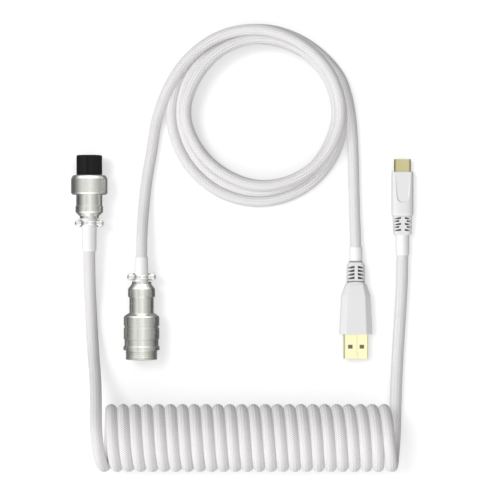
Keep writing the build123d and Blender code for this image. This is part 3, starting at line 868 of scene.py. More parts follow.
@dataclass(frozen=True)
class CoiledLead:
    """The lead with the tight coil, from the coupling plug to the USB-C plug."""

    cord: Cord = Cord("coiled_lead_cord", 2.9, (1.0, 0.0, 0.0), (-0.076, 0.003, 0.009))
    plug_tail: tuple[Point, ...] = (
        (-0.076, 0.0196, 0.009), (-0.076, -0.0035, 0.009), (-0.0759, -0.0155, 0.0062),
        (-0.0756, -0.027, 0.003), (-0.075, -0.0385, 0.0036), (-0.074, -0.0495, 0.0072),
        (-0.0725, -0.06, 0.0146), (-0.0716, -0.0705, 0.0236), (-0.0711, -0.082, 0.0303),
    )
    usb_c_tail: tuple[Point, ...] = (
        (0.0759, -0.0896, 0.0029), (0.0761, -0.083, 0.0029), (0.0763, -0.07, 0.0029),
        (0.0769, -0.055, 0.0029), (0.0779, -0.038, 0.0029), (0.079, -0.021, 0.003),
        (0.0796, -0.007, 0.0037), (0.0796, 0.01135, 0.0037),
    )
    mean_radius: float = 13.75
    axis_y: float = -88.8
    axis_z: float = 16.65
    first_top_x: float = -69.0
    pitch: float = 5.84
    turns: float = 24.5
    lean: float = 2.0  # how far the last half turn leans out towards its tail
    first_lean: float = 1.6  # how far the start of the first turn leans out towards the plug's tail
    first_share: float = 0.3  # of a turn, over which it does

    def coil(self) -> Array:
        """Control points of the coil.

        At turn t the angle is a = 90 degrees + 360 t, and the point is (first top + pitch t, y + R cos a,
        z + R sin a). R is a little over the mean radius, because the smooth line cuts its corners. The
        last point comes before the bottom, so that the line meets the table and doesn't pass it.

        Returns:
            Points in metres, one row each.
        """
        turn = np.arange(int(self.turns * PER_TURN)) / PER_TURN
        angle = FULL_TURN * (0.25 + turn)
        wide = self.mean_radius / CORNER_CUT
        leaning = self.lean * np.clip((turn - self.turns + 0.5) / 0.5, 0.0, 1.0)
        leaning -= self.first_lean * np.clip(1.0 - turn / self.first_share, 0.0, 1.0)
        x = self.first_top_x + self.pitch * turn + leaning
        y, z = self.axis_y + wide * np.cos(angle), self.axis_z + wide * np.sin(angle)
        return np.stack([x, y, z], axis=1) * MM

    def build(self, shop: Workshop) -> None:
        """Makes the lead's cord, and lets the coil open like a spring as the USB-C end moves away.

        Every point of one ring has the same share of the motion, so a strand stays round.

        Args:
            shop: where pieces are fitted.
        """
        line = self.cord.line(np.vstack([self.plug_tail, self.coil(), self.usb_c_tail]))
        cord = self.cord.tube(line)
        shop.paint(cord, Slot.BRAID)
        middle = (self.axis_y * MM, self.axis_z * MM)
        start = (self.first_top_x * MM, *middle)
        end = (start[0] + self.pitch * self.turns * MM, *middle)
        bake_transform(cord, Body.COILED_LEAD.value, Body.USB_C_END.value, start=start, end=end)
        share = smooth_step(start[0], end[0], line[:, 0])
        weights = np.concatenate([np.repeat(share, self.cord.sides), share[[0, -1]]])
        cord.data.attributes[BLEND].data.foreach_set("value", weights.astype(np.float32))
        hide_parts("coiled_lead_plug_tail", "coiled_lead_coil", "coiled_lead_usb_c_tail")
        self.cord.declare(cord, line, "coiled", ["plug_heatshrink_sleeve_skin", "usb_c_sleeve_skin"])


@dataclass(frozen=True)
class StraightLead:
    """The lead with the loose loops, from the threaded socket to the USB-A plug."""

    cord: Cord = Cord("straight_lead_cord", 2.7, (0.0, 0.0, 1.0), (-0.0501, 0.0004, 0.00895), 10)
    socket_tail: tuple[Point, ...] = (
        (-0.0501, -0.0128, 0.00895), (-0.0501, 0.0058, 0.00895), (-0.0498, 0.016, 0.0062),
        (-0.0491, 0.027, 0.0033), (-0.0478, 0.039, 0.0027), (-0.0452, 0.053, 0.0028),
    )
    usb_a_tail: tuple[Point, ...] = (
        (0.0524, 0.08, 0.0027), (0.0544, 0.066, 0.0027), (0.0552, 0.05, 0.0027), (0.0555, 0.033, 0.0027),
        (0.0559, 0.018, 0.0034), (0.05635, 0.008, 0.0043), (0.05635, -0.00205, 0.0043),
    )
    middle: Pair = (9.3, 71.3)
    # Distance of the cord from the middle at each twelfth of a turn, clockwise from the left.
    reach: tuple[tuple[float, ...], ...] = (
        (50.3, 45.8, 43.4, 40.9, 38.8, 38.7, 39.3, 37.8, 36.3, 35.7, 34.7, 35.6),
        (37.9, 36.5, 36.8, 37.1, 36.9, 37.0, 37.6, 36.5, 37.6, 38.5, 38.6, 38.8),
        (39.8, 39.9, 38.5, 37.2, 37.0, 38.5, 40.4, 41.5, 42.5, 43.4, 43.9, 44.2),
        (44.8, 44.0, 43.0, 42.4, 41.5, 42.6),
    )
    clearance: float = 5.5  # between the middles of two strands that lie on each other
    sag: float = 0.5  # how far a strand sags between two places where it is held up

    def loops(self) -> Array:
        """Control points of the loops.

        The angle is 180 degrees less 30 for each step, at the reach given. Later turns lie lower: a
        strand's height is the table's, or that of a strand under it plus sqrt(c^2 - e^2), where c is
        the clearance and e is how far apart the two are sideways, whichever is more. Between two higher
        places it sags a little below their mean.

        Returns:
            Points in metres, one row each.
        """
        reach = np.concatenate([np.array(turn) for turn in self.reach])
        angle = math.pi - FULL_TURN * np.arange(len(reach)) / PER_TURN
        height = np.full(len(reach), self.cord.radius)
        for later in range(len(self.reach) - 1, 0, -1):
            top = slice(PER_TURN * (later - 1), PER_TURN * later)
            for under in range(later, len(self.reach)):
                below = slice(PER_TURN * under, min(PER_TURN * (under + 1), len(reach)))
                upper = slice(top.start, top.start + below.stop - below.start)
                sideways = reach[upper] - reach[below]
                lift = np.sqrt(np.maximum(self.clearance ** 2 - sideways ** 2, 0.0))
                resting = np.where(lift > 0, height[below] + lift, self.cord.radius)
                height[upper] = np.maximum(height[upper], resting)
            spanned = (height[top.start:top.stop - 2] + height[top.start + 2:top.stop]) / 2 - self.sag
            inner = slice(top.start + 1, top.stop - 1)
            height[inner] = np.maximum(height[inner], spanned)
        wide = reach / CORNER_CUT
        x, y = self.middle
        return np.stack([x + wide * np.cos(angle), y + wide * np.sin(angle), height], axis=1) * MM

    def build(self, shop: Workshop) -> None:
        """Makes the lead's cord and fits it to the frame.

        Args:
            shop: where pieces are fitted.
        """
        line = self.cord.line(np.vstack([self.socket_tail, self.loops(), self.usb_a_tail]))
        cord = self.cord.tube(line)
        shop.fit(cord, Body.STRAIGHT_LEAD, Slot.BRAID, "straight_lead_socket_tail", "straight_lead_loops",
                 "straight_lead_usb_a_tail")
        self.cord.declare(cord, line, "loose", ["socket_heatshrink_sleeve_skin", "usb_a_sleeve_skin"])


@dataclass(frozen=True)
class Sleeve:
    """A shrunk sleeve where a cord leaves its connector."""

    outline: Outline
    ease: float = 0.2  # of its corners
    columns: int = 72

    def build(self, shop: Workshop, axis: Axis, body: Body, node: str) -> None:
        """Turns the sleeve about the connector's axis and fits it for its node."""
        skin = axis.lathe(rounded_outline(self.outline, self.ease), self.columns).piece(node + "_skin")
        shop.fit(skin, body, Slot.SLEEVE, node)


# ---- cord clamps ------------------------------------------------------------------------------
@dataclass(frozen=True)
class CordClamp:
    """Loose half of the clamp over a sleeve: a waisted arch with round ears, and two round-head screws."""

    along: float  # distance of the screws from the tip
    inner: float  # the arch's radii
    outer: float
    ear_x: float = 5.35
    ear_radius: float = 1.75
    ear_heights: Pair = (0.3, 1.9)  # underside and top, above the axis
    ear_edge: float = 0.5  # radius of an ear's rounded edge
    foot: float = math.radians(6.0)  # where the arch ends, above the level of the axis
    wide: float = 3.4  # the arch's width at its feet and at its crown, along the cord
    waist: float = 1.9
    head_radius: float = 1.4
    head_high: float = 1.05
    head_rim: float = 0.15  # height of the head's upright rim
    head_ease: float = 0.1  # of its lower edge
    shank: Pair = (0.8, -2.3)  # radius, and how low it reaches
    cross: tuple[float, float, float] = (0.42, 1.7, 0.55)  # the recess's width, length and depth
    cross_edge: float = 0.1
    cross_from: float = 0.2  # height above the ears where the recess may start
    arch_shape: tuple[int, int] = (49, 28)  # rows and columns of the mesh
    ear_rows: int = 7  # of each rounded edge
    dome_rows: int = 22
    columns: int = 48  # round a post
    screw_sharp: float = 40.0  # degrees from which a screw's edges look sharp

    def arch(self, axis: Axis) -> Surface:
        """The arch: a soft rectangle carried round the cord.

        At angle a its width is waist + (wide - waist) cos^2 a, and its section is the outline
        (|cos b|^0.5, |sin b|^0.5) with signs, in units of half its width and half its thickness.

        Args:
            axis: the connector's axis.

        Returns:
            The closed arch.
        """
        turn = np.linspace(self.foot, math.pi - self.foot, self.arch_shape[0])[:, None]
        around = np.linspace(0.0, FULL_TURN, self.arch_shape[1], endpoint=False)[None, :]
        softly = [np.sign(part) * np.sqrt(np.abs(part)) for part in (np.cos(around), np.sin(around))]
        half = (self.waist + (self.wide - self.waist) * np.cos(turn) ** 2) / 2
        radius = (self.inner + self.outer) / 2 + (self.outer - self.inner) / 2 * softly[1]
        rings = axis.place(radius * np.cos(turn), self.along + half * softly[0], radius * np.sin(turn))
        return capped(rings).outward()

    def post(self, axis: Axis, x: float, outline: Array, crossed: bool) -> Surface:
        """A round post that stands beside the cord.

        Args:
            axis: the connector's axis.
            x: the post's distance across from it.
            outline: (radius, height) rows, from the foot to the top.
            crossed: whether its top has a cross recess.

        Returns:
            The closed post.
        """
        angle = np.arange(self.columns)[None, :] * FULL_TURN / self.columns
        radius, height = outline[:, :1], outline[:, 1:]
        across, along = radius * np.cos(angle), radius * np.sin(angle)
        height = height + 0.0 * angle
        if crossed:
            wide, long, deep = self.cross
            bars = [band(first, -wide / 2, wide / 2, self.cross_edge)
                    * band(second, -long / 2, long / 2, self.cross_edge)
                    for first, second in ((across, along), (along, across))]
            height = height - deep * np.maximum(*bars) * (height > self.ear_heights[1] + self.cross_from)
        return capped(axis.place(x + across, self.along + along, height)).outward()

    def ear(self, axis: Axis, x: float) -> Surface:
        """An ear: a disc whose upper and lower edges are rounded by quarter circles.

        Args:
            axis: the connector's axis.
            x: the ear's distance across from it.

        Returns:
            The closed ear.
        """
        low, high = self.ear_heights
        bend = np.linspace(0.0, math.pi / 2, self.ear_rows)
        out = self.ear_radius - self.ear_edge * (1 - np.sin(bend))
        rise = self.ear_edge * (1 - np.cos(bend))
        outline = np.vstack([np.column_stack([out, low + rise]), np.column_stack([out, high - rise])[::-1]])
        return self.post(axis, x, outline, False)

    def screw(self, axis: Axis, x: float) -> Surface:
        """A screw: its shank, and a head whose height above its rim is h sqrt(1 - (r / R)^2).

        Args:
            axis: the connector's axis.
            x: the screw's distance across from it.

        Returns:
            The closed screw.
        """
        shank, low = self.shank
        seat = self.ear_heights[1]
        radius = self.head_radius * np.cos(np.linspace(0.0, math.pi / 2, self.dome_rows)[:-1])
        round_part = (self.head_high - self.head_rim) * np.sqrt(1 - (radius / self.head_radius) ** 2)
        dome = np.column_stack([radius, seat + self.head_rim + round_part])
        stem = np.array([(shank, low), (shank, seat), (self.head_radius - self.head_ease, seat),
                         (self.head_radius, seat + self.head_ease)])
        return self.post(axis, x, np.vstack([stem, dome]), True)

    def build(self, shop: Workshop, axis: Axis, body: Body, prefix: str) -> None:
        """Makes the saddle and the screws.

        Args:
            shop: where pieces are fitted.
            axis: the connector's axis.
            body: the body that they ride on.
            prefix: the connector's name in the frame's nodes.
        """
        sides = (-self.ear_x, self.ear_x)
        saddle = joined(self.arch(axis), *(self.ear(axis, x) for x in sides))
        screws = joined(*(self.screw(axis, x) for x in sides))
        for surface, node, look, crease in ((saddle, "_clamp_saddle", "_waisted", FINE_SHARP),
                                            (screws, "_clamp_screws", "_domed", self.screw_sharp)):
            shop.fit(surface.piece(prefix + node + look, crease), body, Slot.STEEL, prefix + node)


# ---- coupling plug and socket -----------------------------------------------------------------
@dataclass(frozen=True)
class CouplingPlug:
    """Cable half of the coupling: knurled nut, turned back shell, cord clamp and sleeve."""

    knurls: int = 62  # diamonds round the nut
    knurl_columns: int = 6  # of the mesh, for each diamond
    knurl_long: float = 0.9
    knurl_deep: float = 0.13
    knurl_band: Pair = (12.1, 18.5)
    knurl_edge: float = 0.3
    knurl_inside: float = 8.9  # radius past which the nut is knurled
    corner: float = 0.18  # of the nut's outline
    row: float = 0.15  # of the nut's mesh
    edge: float = 0.12  # of the cast pieces
    clamp: CordClamp = CordClamp(33.7, 3.7, 4.9)
    sleeve: Sleeve = Sleeve(
        ((2.95, 31.0), (3.65, 31.0), (3.62, 38.0), (3.55, 46.9), (3.25, 47.6), (2.95, 47.6)),
    )
    nut: Outline = (
        (7.45, 9.9), (7.65, 9.9), (8.35, 10.45), (9.0, 11.8), (9.0, 18.7), (8.3, 19.5), (6.6, 19.5),
        (6.6, 17.6), (8.0, 17.6), (8.0, 16.7), (7.45, 16.7),
    )

    def knurling(self, radius: Array, along: Array, angle: Array) -> Array:
        """Diamond knurl: the lower of two triangle waves on crossing helices, within the nut's band.

        Args:
            radius: the plain nut's radii.
            along: distances from the tip.
            angle: angles round the axis.

        Returns:
            The change of radius.
        """
        around, onward = self.knurls * angle / FULL_TURN, along / self.knurl_long
        phases = (around + onward, around - onward)
        first, second = (np.abs(2.0 * np.mod(phase, 1.0) - 1.0) for phase in phases)
        inside = band(along, *self.knurl_band, self.knurl_edge) * (radius > self.knurl_inside)
        return -self.knurl_deep * (1.0 - np.minimum(first, second)) * inside

    def build(self, shop: Workshop) -> None:
        """Makes the nut, sleeve and clamp, and eases the edges of the back shell and the insert.

        Args:
            shop: where pieces are fitted.
        """
        axis = Axis.of_node("plug_insert", -1)
        outline = divided(rounded_outline(self.nut, self.corner), self.row)
        nut = axis.lathe(outline, self.knurls * self.knurl_columns, self.knurling)
        piece = nut.piece("plug_coupling_nut_knurled", FINE_SHARP)
        shop.fit(piece, Body.COUPLING_NUT, Slot.NICKEL, "plug_coupling_nut")
        self.sleeve.build(shop, axis, Body.COILED_LEAD, "plug_heatshrink_sleeve")
        self.clamp.build(shop, axis, Body.COILED_LEAD, "plug")
        shop.ease("plug_back_shell", self.edge, Body.COILED_LEAD, Slot.NICKEL)
        shop.ease("plug_insert", self.edge, Body.COILED_LEAD, Slot.INSERT)


@dataclass(frozen=True)
class ThreadedSocket:
    """Socket half of the coupling: threaded shell, union collar, back shell, clamp and sleeve."""

    thread_pitch: float = 1.0
    thread_deep: float = 0.38
    thread: Pair = (0.55, 4.4)
    thread_edge: float = 0.4
    thread_inside: float = 7.85  # radius past which the shell is threaded
    bore: float = 6.85
    bore_near: float = 0.05  # how near to that a point of the bore is
    key: Pair = (1.5, 11.5)
    key_half: float = 0.8
    key_deep: float = 1.0
    key_edges: Pair = (0.15, 0.2)  # across and along
    widest: float = 8.8  # radius of the collar, which lies on the table
    shell_columns: int = 192
    shell_corner: float = 0.12
    shell_row: float = 0.11
    collar_columns: int = 128
    collar_corner: float = 0.15
    edge: float = 0.12  # of the cast back shell
    shell: Outline = (
        (6.85, 0.3), (7.15, 0.0), (7.5, 0.0), (7.9, 0.4), (7.9, 4.7), (8.95, 4.7), (8.95, 6.4), (8.4, 6.8),
        (8.4, 9.95), (7.6, 9.95), (7.6, 19.0), (5.6, 19.0), (5.6, 10.5), (6.85, 10.5),
    )
    collar: Outline = (
        (7.65, 10.0), (8.5, 10.0), (8.8, 10.3), (8.8, 15.6), (8.3, 15.9), (8.3, 16.5), (8.8, 16.8),
        (8.8, 21.0), (8.4, 21.6), (6.3, 23.0), (6.05, 23.0), (6.05, 20.05), (7.65, 20.05),
    )
    clamp: CordClamp = CordClamp(40.9, 3.3, 4.6)
    sleeve: Sleeve = Sleeve(
        ((2.75, 37.8), (3.25, 37.8), (3.22, 44.0), (3.15, 50.4), (2.95, 51.0), (2.75, 51.0)),
    )

    def shaping(self, radius: Array, along: Array, angle: Array) -> Array:
        """The thread cut into the mouth, a cosine on a helix, and the key that stands in the bore.

        Args:
            radius: the plain shell's radii.
            along: distances from the tip.
            angle: angles round the axis.

        Returns:
            The change of radius.
        """
        groove = 0.5 - 0.5 * np.cos(FULL_TURN * along / self.thread_pitch - angle)
        threaded = band(along, *self.thread, self.thread_edge) * (radius > self.thread_inside)
        beside, onward = self.key_edges
        on_key = band(radius * np.cos(angle), -self.key_half, self.key_half, beside) * (np.sin(angle) > 0)
        in_bore = band(along, *self.key, onward) * (np.abs(radius - self.bore) < self.bore_near)
        return -self.thread_deep * groove * threaded - self.key_deep * on_key * in_bore

    def build(self, shop: Workshop) -> None:
        """Makes the shell, collar, sleeve and clamp, and eases the back shell's edges.

        Args:
            shop: where pieces are fitted.
        """
        tip = Axis.of_node("socket_shell", 1)
        axis = Axis(tip.x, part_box("socket_collar")[0].z / MM + self.widest, tip.tip_y, tip.inward)
        outline = divided(rounded_outline(self.shell, self.shell_corner), self.shell_row)
        shell = axis.lathe(outline, self.shell_columns, self.shaping)
        piece = shell.piece("socket_shell_threaded", FINE_SHARP)
        shop.fit(piece, Body.STRAIGHT_LEAD, Slot.NICKEL, "socket_shell")
        collar = axis.lathe(rounded_outline(self.collar, self.collar_corner), self.collar_columns)
        shop.fit(collar.piece("socket_collar_turned"), Body.STRAIGHT_LEAD, Slot.NICKEL, "socket_collar")
        self.sleeve.build(shop, axis, Body.STRAIGHT_LEAD, "socket_heatshrink_sleeve")
        self.clamp.build(shop, axis, Body.STRAIGHT_LEAD, "socket")
        shop.ease("socket_back_shell", self.edge, Body.STRAIGHT_LEAD, Slot.NICKEL)


# ---- USB plugs --------------------------------------------------------------------------------
@dataclass(frozen=True)
class SlotRow:
    """A pair of slanted slots across a boot, mirrored about its middle, above and below."""

    along: float  # distance from the tip of the slots' inner ends
    near: float  # where a slot starts and ends, across from the middle
    far: float
    thick: float  # at the inner end
    slope: float  # how far the slots run towards the tip, for each millimetre outwards

    def mask(self, across: Array, along: Array, edge: float) -> Array:
        """Where the slots are: they get thinner outwards.

        Args:
            across: distances across from the boot's middle.
            along: distances from the tip.
            edge: how wide their soft edges are.

        Returns:
            1 inside the slots and 0 outside.
        """
        out = np.abs(across)
        share = np.clip((out - self.near) / (self.far - self.near), 0.0, 1.0)
        middle = self.along - self.slope * (out - self.near)
        half = self.thick * (0.5 - 0.2 * share)
        return band(out, self.near, self.far, edge) * band(along, middle - half, middle + half, edge)


@dataclass(frozen=True)
class Boot:
    """A soft slotted strain relief with an oval section."""

    stations: tuple[Point, ...]  # distance from the tip, width and height
    rows: tuple[SlotRow, ...]
    cord_radius: float
    rings: tuple[tuple[float, float, float], ...] = ()  # grooves all round: where, how wide, how bowed
    ring_deep: float = 0.3
    # painted shade in the grooves, as a share of full shade
    ring_shade: float = 0.7
    ease: float = 0.3  # of its ends
    edge: float = 0.12  # of its slots and grooves
    roundness: float = 4.0
    floor_gap: float = 0.1  # between a slot's floor and the cord
    bow_half: float = 4.0  # distance across where a bowed groove is back in line
    slot_side: float = 0.28  # sine of the angle below which a side has no slots
    slot_rise: float = 4.0  # how fast they start past it
    shape: tuple[int, int] = (140, 240)  # rows and columns of the mesh

    def surface(self, axis: Axis) -> Surface:
        """The boot's skin.

        The section is a soft rectangle whose size is read between stations. Wherever the slots' masks
        say so, on the top and bottom faces, the radius falls to just over the cord's. The slots and the
        grooves also carry painted shade, which darkens their colour.

        Args:
            axis: the connector's axis.

        Returns:
            The closed skin, with painted shade in its slots and grooves.
        """
        table = np.array(self.stations)
        start, end = table[0, 0], table[-1, 0]
        angle = np.linspace(0.0, FULL_TURN, self.shape[1], endpoint=False)
        along = np.linspace(start, end, self.shape[0])
        wide, high = (np.interp(along, table[:, 0], table[:, column]) for column in (1, 2))
        ease = self.ease * (1 - smooth_step(0.0, self.ease, np.minimum(along - start, end - along)))
        radius = half_planes(angle, *four_sides(wide - 2 * ease, high - 2 * ease), self.roundness)
        across = radius * np.cos(angle)
        cut = np.zeros_like(radius)
        for row in self.rows:
            cut = np.maximum(cut, row.mask(across, along[:, None], self.edge))
        cut *= np.clip(self.slot_rise * (np.abs(np.sin(angle)) - self.slot_side), 0.0, 1.0)
        floor = self.cord_radius + self.floor_gap
        sunk = np.where(radius > floor, radius + (floor - radius) * cut, radius)
        for where, thick, bowed in self.rings:
            bow = bowed * (self.bow_half - np.abs(across))
            groove = band(along[:, None], where - thick / 2 + bow, where + thick / 2, self.edge)
            sunk = np.minimum(sunk, radius - self.ring_deep * groove)
            # painted shade in the groove joins the slots' mask
            cut = np.maximum(cut, self.ring_shade * groove)
        ends = np.full((1, len(angle)), self.cord_radius)
        skin = axis.loft(np.concatenate([[start], along, [end]]), np.vstack([ends, sunk, ends]))
        # the slots' and grooves' masks become painted shade on the skin
        painted_shade = np.concatenate([np.pad(cut, ((1, 1), (0, 0))).ravel(), [0.0, 0.0]])
        return Surface(skin.vertices, skin.quads, skin.triangles, painted_shade=painted_shade)


@dataclass(frozen=True)
class UsbPlug:
    """What both USB plugs have: a moulded body, a slotted boot, a sleeve and a metal shell."""

    prefix: str  # of its nodes' names
    look: str  # what the name of the body's piece ends in
    inward: int  # which way the cord leaves along Y
    ride: Body
    metal: Slot
    crease: float  # degrees from which the body's edges look sharp
    mouth: float  # where the body starts and ends
    body_end: float
    boot: Boot
    sleeve: Sleeve
    shell_edge: float = 0.05

    def body(self, axis: Axis) -> Surface:
        """The body's closed skin, which each kind of plug has its own way to shape."""
        raise NotImplementedError

    def build(self, shop: Workshop) -> None:
        """Makes the body, boot and sleeve, and eases the shell's edges.

        Args:
            shop: where pieces are fitted.
        """
        axis = Axis.of_node(self.prefix + "_shell", self.inward)
        body = self.body(axis).piece(f"{self.prefix}_body_{self.look}", self.crease)
        shop.fit(body, self.ride, Slot.MOULDING, self.prefix + "_overmold")
        boot = self.boot.surface(axis).piece(self.prefix + "_boot_slotted", FINE_SHARP)
        shop.fit(boot, self.ride, Slot.MOULDING, self.prefix + "_boot")
        self.sleeve.build(shop, axis, self.ride, self.prefix + "_sleeve")
        shop.ease(self.prefix + "_shell", self.shell_edge, self.ride, self.metal)


@dataclass(frozen=True)
class UsbAPlug(UsbPlug):
    """USB-A plug: gold shell, faceted body, slotted boot and sleeve."""

    prefix: str = "usb_a"
    look: str = "faceted"
    inward: int = 1
    ride: Body = Body.STRAIGHT_LEAD
    metal: Slot = Slot.GOLD
    crease: float = 40.0
    mouth: float = 12.25
    body_end: float = 37.3
    boot: Boot = Boot(((37.3, 9.3, 7.6), (46.2, 8.8, 7.2), (47.8, 7.4, 6.9), (48.65, 6.8, 6.6)),
                      tuple(SlotRow(45.7 - 1.78 * row, 0.9, 4.5, 1.15, 0.15) for row in range(4)), 2.75,
                      ((38.35, 1.0, 0.1), (48.3, 0.7, 0.0)))
    sleeve: Sleeve = Sleeve(((2.75, 48.75), (3.2, 48.75), (3.2, 55.4), (2.95, 55.8), (2.75, 55.8)), 0.15, 64)
    # Stations of the body: distance from the tip, then the flat's width, the full width and the height.
    stations: tuple[tuple[float, float, float, float], ...] = (
        (12.25, 10.3, 16.3, 8.6), (31.3, 8.9, 14.3, 8.6), (37.3, 6.7, 10.2, 7.6),
    )
    side_share: float = 0.42  # height of the upright side, as a share of the whole height
    ease: float = 0.3  # of its ends
    end_rows: tuple[float, ...] = (0.06, 0.14, 0.26)  # extra rows of the mesh, from each end
    shape: tuple[int, int] = (60, 256)  # its common rows and columns
    sharpness: float = 60.0

    def body(self, axis: Axis) -> Surface:
        """The body's skin: eight soft-cornered sides whose places are read between stations.

        Args:
            axis: the connector's axis.

        Returns:
            The closed skin.
        """
        angle = np.linspace(0.0, FULL_TURN, self.shape[1], endpoint=False)
        near_ends = np.array(self.end_rows)
        common = np.linspace(self.mouth, self.body_end, self.shape[0])
        along = np.unique(np.concatenate([common, self.mouth + near_ends, self.body_end - near_ends]))
        table = np.array(self.stations)
        flat, wide, high = (np.interp(along, table[:, 0], table[:, column]) / 2 for column in (1, 2, 3))
        rise, run = high - high * self.side_share, wide - flat
        slant = np.arctan2(run, rise)
        far = (rise * flat + run * high) / np.hypot(rise, run)
        quarter, level = math.pi / 2, np.zeros_like(along)
        normals = np.stack([level, slant, level + quarter, math.pi - slant, level + math.pi,
                            math.pi + slant, level + 3 * quarter, -slant], axis=1)
        distances = np.stack([wide, far, high, far, wide, far, high, far], axis=1)
        from_end = np.minimum(along - self.mouth, self.body_end - along)
        distances -= self.ease * (1.0 - np.sqrt(np.clip(from_end / self.ease, 0.0, 1.0)))[:, None]
        return axis.loft(along, half_planes(angle, normals, distances, self.sharpness))


@dataclass(frozen=True)
class UsbCPlug(UsbPlug):
    """USB-C plug: gold shell, rounded body with a thumb facet, slotted boot and sleeve."""

    prefix: str = "usb_c"
    look: str = "rounded"
    inward: int = -1
    ride: Body = Body.USB_C_END
    metal: Slot = Slot.DULL_GOLD
    crease: float = 25.0
    mouth: float = 6.3
    body_end: float = 28.4
    boot: Boot = Boot(((28.4, 9.5, 7.0), (36.8, 8.9, 6.9), (37.8, 8.0, 6.8)),
                      tuple(SlotRow(29.3 + 1.47 * row, 1.0 + row % 2, 4.1 + 0.5 * (row % 2), 0.95, -0.14)
                            for row in range(5)), 2.95)
    sleeve: Sleeve = Sleeve(((2.95, 37.8), (3.35, 37.8), (3.35, 47.4), (3.1, 47.9), (2.95, 47.9)), 0.2, 64)
    width: float = 10.8
    height: float = 7.4
    roundness: float = 2.9
    front: float = 0.35  # how far and how deep the front end is eased
    back: Pair = (0.8, 1.3)  # how deep and how far the back end is eased
    facet_height: float = 3.0  # of the thumb facet above the axis
    facet_end: float = 21.6
    facet_half: Pair = (4.0, 2.9)  # g and h, half its width at each end
    facet_edge: float = 0.25
    facet_blunt: int = 14  # k, which makes its end blunter as it grows
    facet_least: float = 0.05  # half-width below which there is none
    shape: tuple[int, int] = (150, 300)  # rows and columns of the mesh

    def body(self, axis: Axis) -> Surface:
        """The body's skin: a soft rectangle with a flat facet sunk into its top and underside.

        The facet's half-width is (g + (h - g) s) sqrt(1 - s^k), with s from 0 at the mouth to 1 at the
        facet's end, which that makes round.

        Args:
            axis: the connector's axis.

        Returns:
            The closed skin.
        """
        angle = np.linspace(0.0, FULL_TURN, self.shape[1], endpoint=False)
        along = np.linspace(self.mouth, self.body_end, self.shape[0])
        deep, far = self.back
        back = deep * (1.0 - np.sqrt(np.clip((self.body_end - along) / far, 0.0, 1.0)))
        front = self.front * (1.0 - np.sqrt(np.clip((along - self.mouth) / self.front, 0.0, 1.0)))
        less = 2 * (back + front)
        radius = half_planes(angle, *four_sides(self.width - less, self.height - less), self.roundness)
        share = np.clip((along - self.mouth) / (self.facet_end - self.mouth), 0.0, 1.0)
        first, last = self.facet_half
        half = ((first + (last - first) * share) * np.sqrt(1.0 - share ** self.facet_blunt))[:, None]
        sunk = band(radius * np.cos(angle), -half, half, self.facet_edge) * (half > self.facet_least)
        facet = (self.facet_height - front)[:, None] / np.maximum(np.abs(np.sin(angle)), 1e-6)
        return axis.loft(along, radius + (np.minimum(radius, facet) - radius) * sunk)


# ---- table, light and camera ------------------------------------------------------------------
@dataclass(frozen=True)
class Lamp:
    """A distant light, by the side that it shines from."""

    name: str
    strength: float
    azimuth: float  # degrees counter-clockwise from +X
    elevation: float
    softness: float
    casts_shadow: bool = True


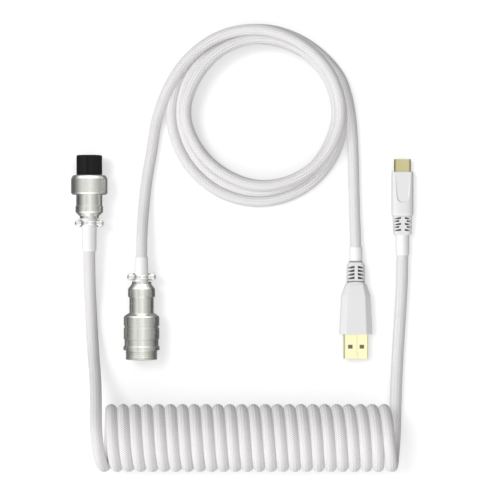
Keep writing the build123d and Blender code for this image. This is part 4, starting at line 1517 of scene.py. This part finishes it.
@dataclass(frozen=True)
class Studio:
    """A white table under soft light, seen from straight above."""

    look_at: Pair = (0.00365, 0.00365)
    eye_height: float = 1.03
    view_wide: float = 0.25  # what the view takes in across the table
    sensor: float = 36.0
    farthest: float = 20.0  # that the camera sees
    table_size: float = 6.0
    table_albedo: float = 0.99
    fill: float = 0.64  # of even light from above
    fill_tilt: float = 0.22  # how much of it comes from the front rather than the back
    fill_below: float = 0.30  # of even light from below the horizon, as a share of that from above
    lamps: tuple[Lamp, ...] = (
        Lamp("key_light", 0.70, 152.0, 62.0, 22.0), Lamp("left_light", 1.6, 180.0, 25.0, 20.0, False),
        Lamp("front_light", 0.8, 270.0, 30.0, 20.0, False),
    )
    # Brightness that metal mirrors, from a direction's X of -1 to 1.
    strips: Outline = (
        (0.0, 0.30), (0.07, 0.60), (0.15, 1.00), (0.25, 0.92), (0.35, 0.72), (0.43, 1.15), (0.51, 0.92),
        (0.60, 1.35), (0.71, 0.84), (0.85, 0.74), (1.0, 0.36),
    )
    strip_scale: float = 2.0  # the strips' brightness goes into the ramp as a share of this
    end_glow: float = 1.1  # added for directions along Y
    end_range: Pair = (0.45, 0.9)  # of |y|, over which it grows
    floor_dark: float = 0.22  # what metal mirrors from below, as a share
    floor_range: Pair = (-0.25, 0.12)  # of z, over which that grows to 1
    fill_range: Pair = (-0.1, 0.1)  # of z, over which the even light grows from its share below

    def table(self) -> None:
        """Makes a pale table top that metal doesn't mirror and that throws no light back on the sides."""
        half = self.table_size / 2
        mesh = bpy.data.meshes.new("table_top")
        corners = [(-half, -half, 0.0), (half, -half, 0.0), (half, half, 0.0), (-half, half, 0.0)]
        mesh.from_pydata(corners, [], [(0, 1, 2, 3)])
        board = NodeBoard(bpy.data.materials.new("table_white"))
        pale = (*[self.table_albedo] * 3, 1.0)
        board.give({"Base Color": pale, "Roughness": 1.0, "Specular IOR Level": 0.0})
        mesh.materials.append(board.owner)
        top = in_scene("table_top", mesh)
        top.visible_glossy = False
        top.visible_diffuse = False
        top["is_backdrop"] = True

    def lights(self) -> None:
        """Makes a soft key light from the upper left, and side lights that cast no shadow."""
        for lamp in self.lamps:
            sun = bpy.data.lights.new(lamp.name, "SUN")
            sun.energy = lamp.strength
            sun.angle = math.radians(lamp.softness)
            sun.use_shadow = lamp.casts_shadow
            holder = in_scene(lamp.name, sun)
            holder.rotation_euler = (0.0, math.radians(90.0 - lamp.elevation), math.radians(lamp.azimuth))
            holder.visible_glossy = False

    def surroundings(self) -> None:
        """Makes even light for matt surfaces, and light strips above a dark floor for metal to mirror.

        For a direction (x, y, z), matt surfaces get (fill - tilt y) times a step at the horizon. Metal
        mirrors the strips' brightness at x plus a glow that grows with |y|, times a softer step.
        """
        board = NodeBoard(bpy.data.worlds.new("studio"), "Background")
        bpy.context.scene.world = board.owner
        split = board.add("SeparateXYZ")
        board.join(board.add("TexCoord").outputs["Generated"], split.inputs[0])
        x, y, z = split.outputs
        ramp = board.add("ValToRGB")
        board.join(board.spread(x, (-1.0, 1.0)), ramp.inputs["Fac"])
        stops = ramp.color_ramp.elements
        while len(stops) < len(self.strips):
            stops.new(0.5)
        for stop, (place, _) in zip(stops, self.strips):
            stop.position = place
        for stop, (_, bright) in zip(stops, self.strips):
            stop.color = (*[bright / self.strip_scale] * 3, 1.0)
        glow = board.spread(board.maths("ABSOLUTE", y), self.end_range, (0.0, self.end_glow))
        strips = board.maths("MULTIPLY_ADD", ramp.outputs["Color"], self.strip_scale, glow)
        floor = board.spread(z, self.floor_range, (self.floor_dark, 1.0))
        mirrored = board.maths("MULTIPLY", strips, floor)
        tilted = board.maths("MULTIPLY_ADD", y, -self.fill_tilt, self.fill)
        even = board.maths("MULTIPLY", tilted, board.spread(z, self.fill_range, (self.fill_below, 1.0)))
        choose = board.add("Mix")
        glossy = board.add("LightPath").outputs["Is Glossy Ray"]
        for number, value in ((0, glossy), (2, even), (3, mirrored)):
            board.join(value, choose.inputs[number])
        board.give({"Color": (1.0, 1.0, 1.0, 1.0), "Strength": choose.outputs[0]})

    def camera(self) -> None:
        """Sets up a camera straight above, far enough for little perspective."""
        lens = bpy.data.cameras.new("overhead_camera")
        lens.sensor_width = self.sensor
        lens.lens = self.sensor * self.eye_height / self.view_wide
        lens.clip_end = self.farthest
        holder = in_scene("overhead_camera", lens)
        holder.location = (*self.look_at, self.eye_height)
        bpy.context.scene.camera = holder

    def build(self) -> None:
        """Sets up the table, the light and the camera, and plain colour handling."""
        self.table()
        self.lights()
        self.surroundings()
        self.camera()
        bpy.context.scene.view_settings.view_transform = "Standard"


def main() -> None:
    logging.basicConfig(level=logging.INFO, format="%(message)s")
    shop = Workshop()
    Studio().build()
    for assembly in (CouplingPlug(), ThreadedSocket(), UsbAPlug(), UsbCPlug(), CoiledLead(), StraightLead()):
        assembly.build(shop)


if __name__ == "__main__":
    main()
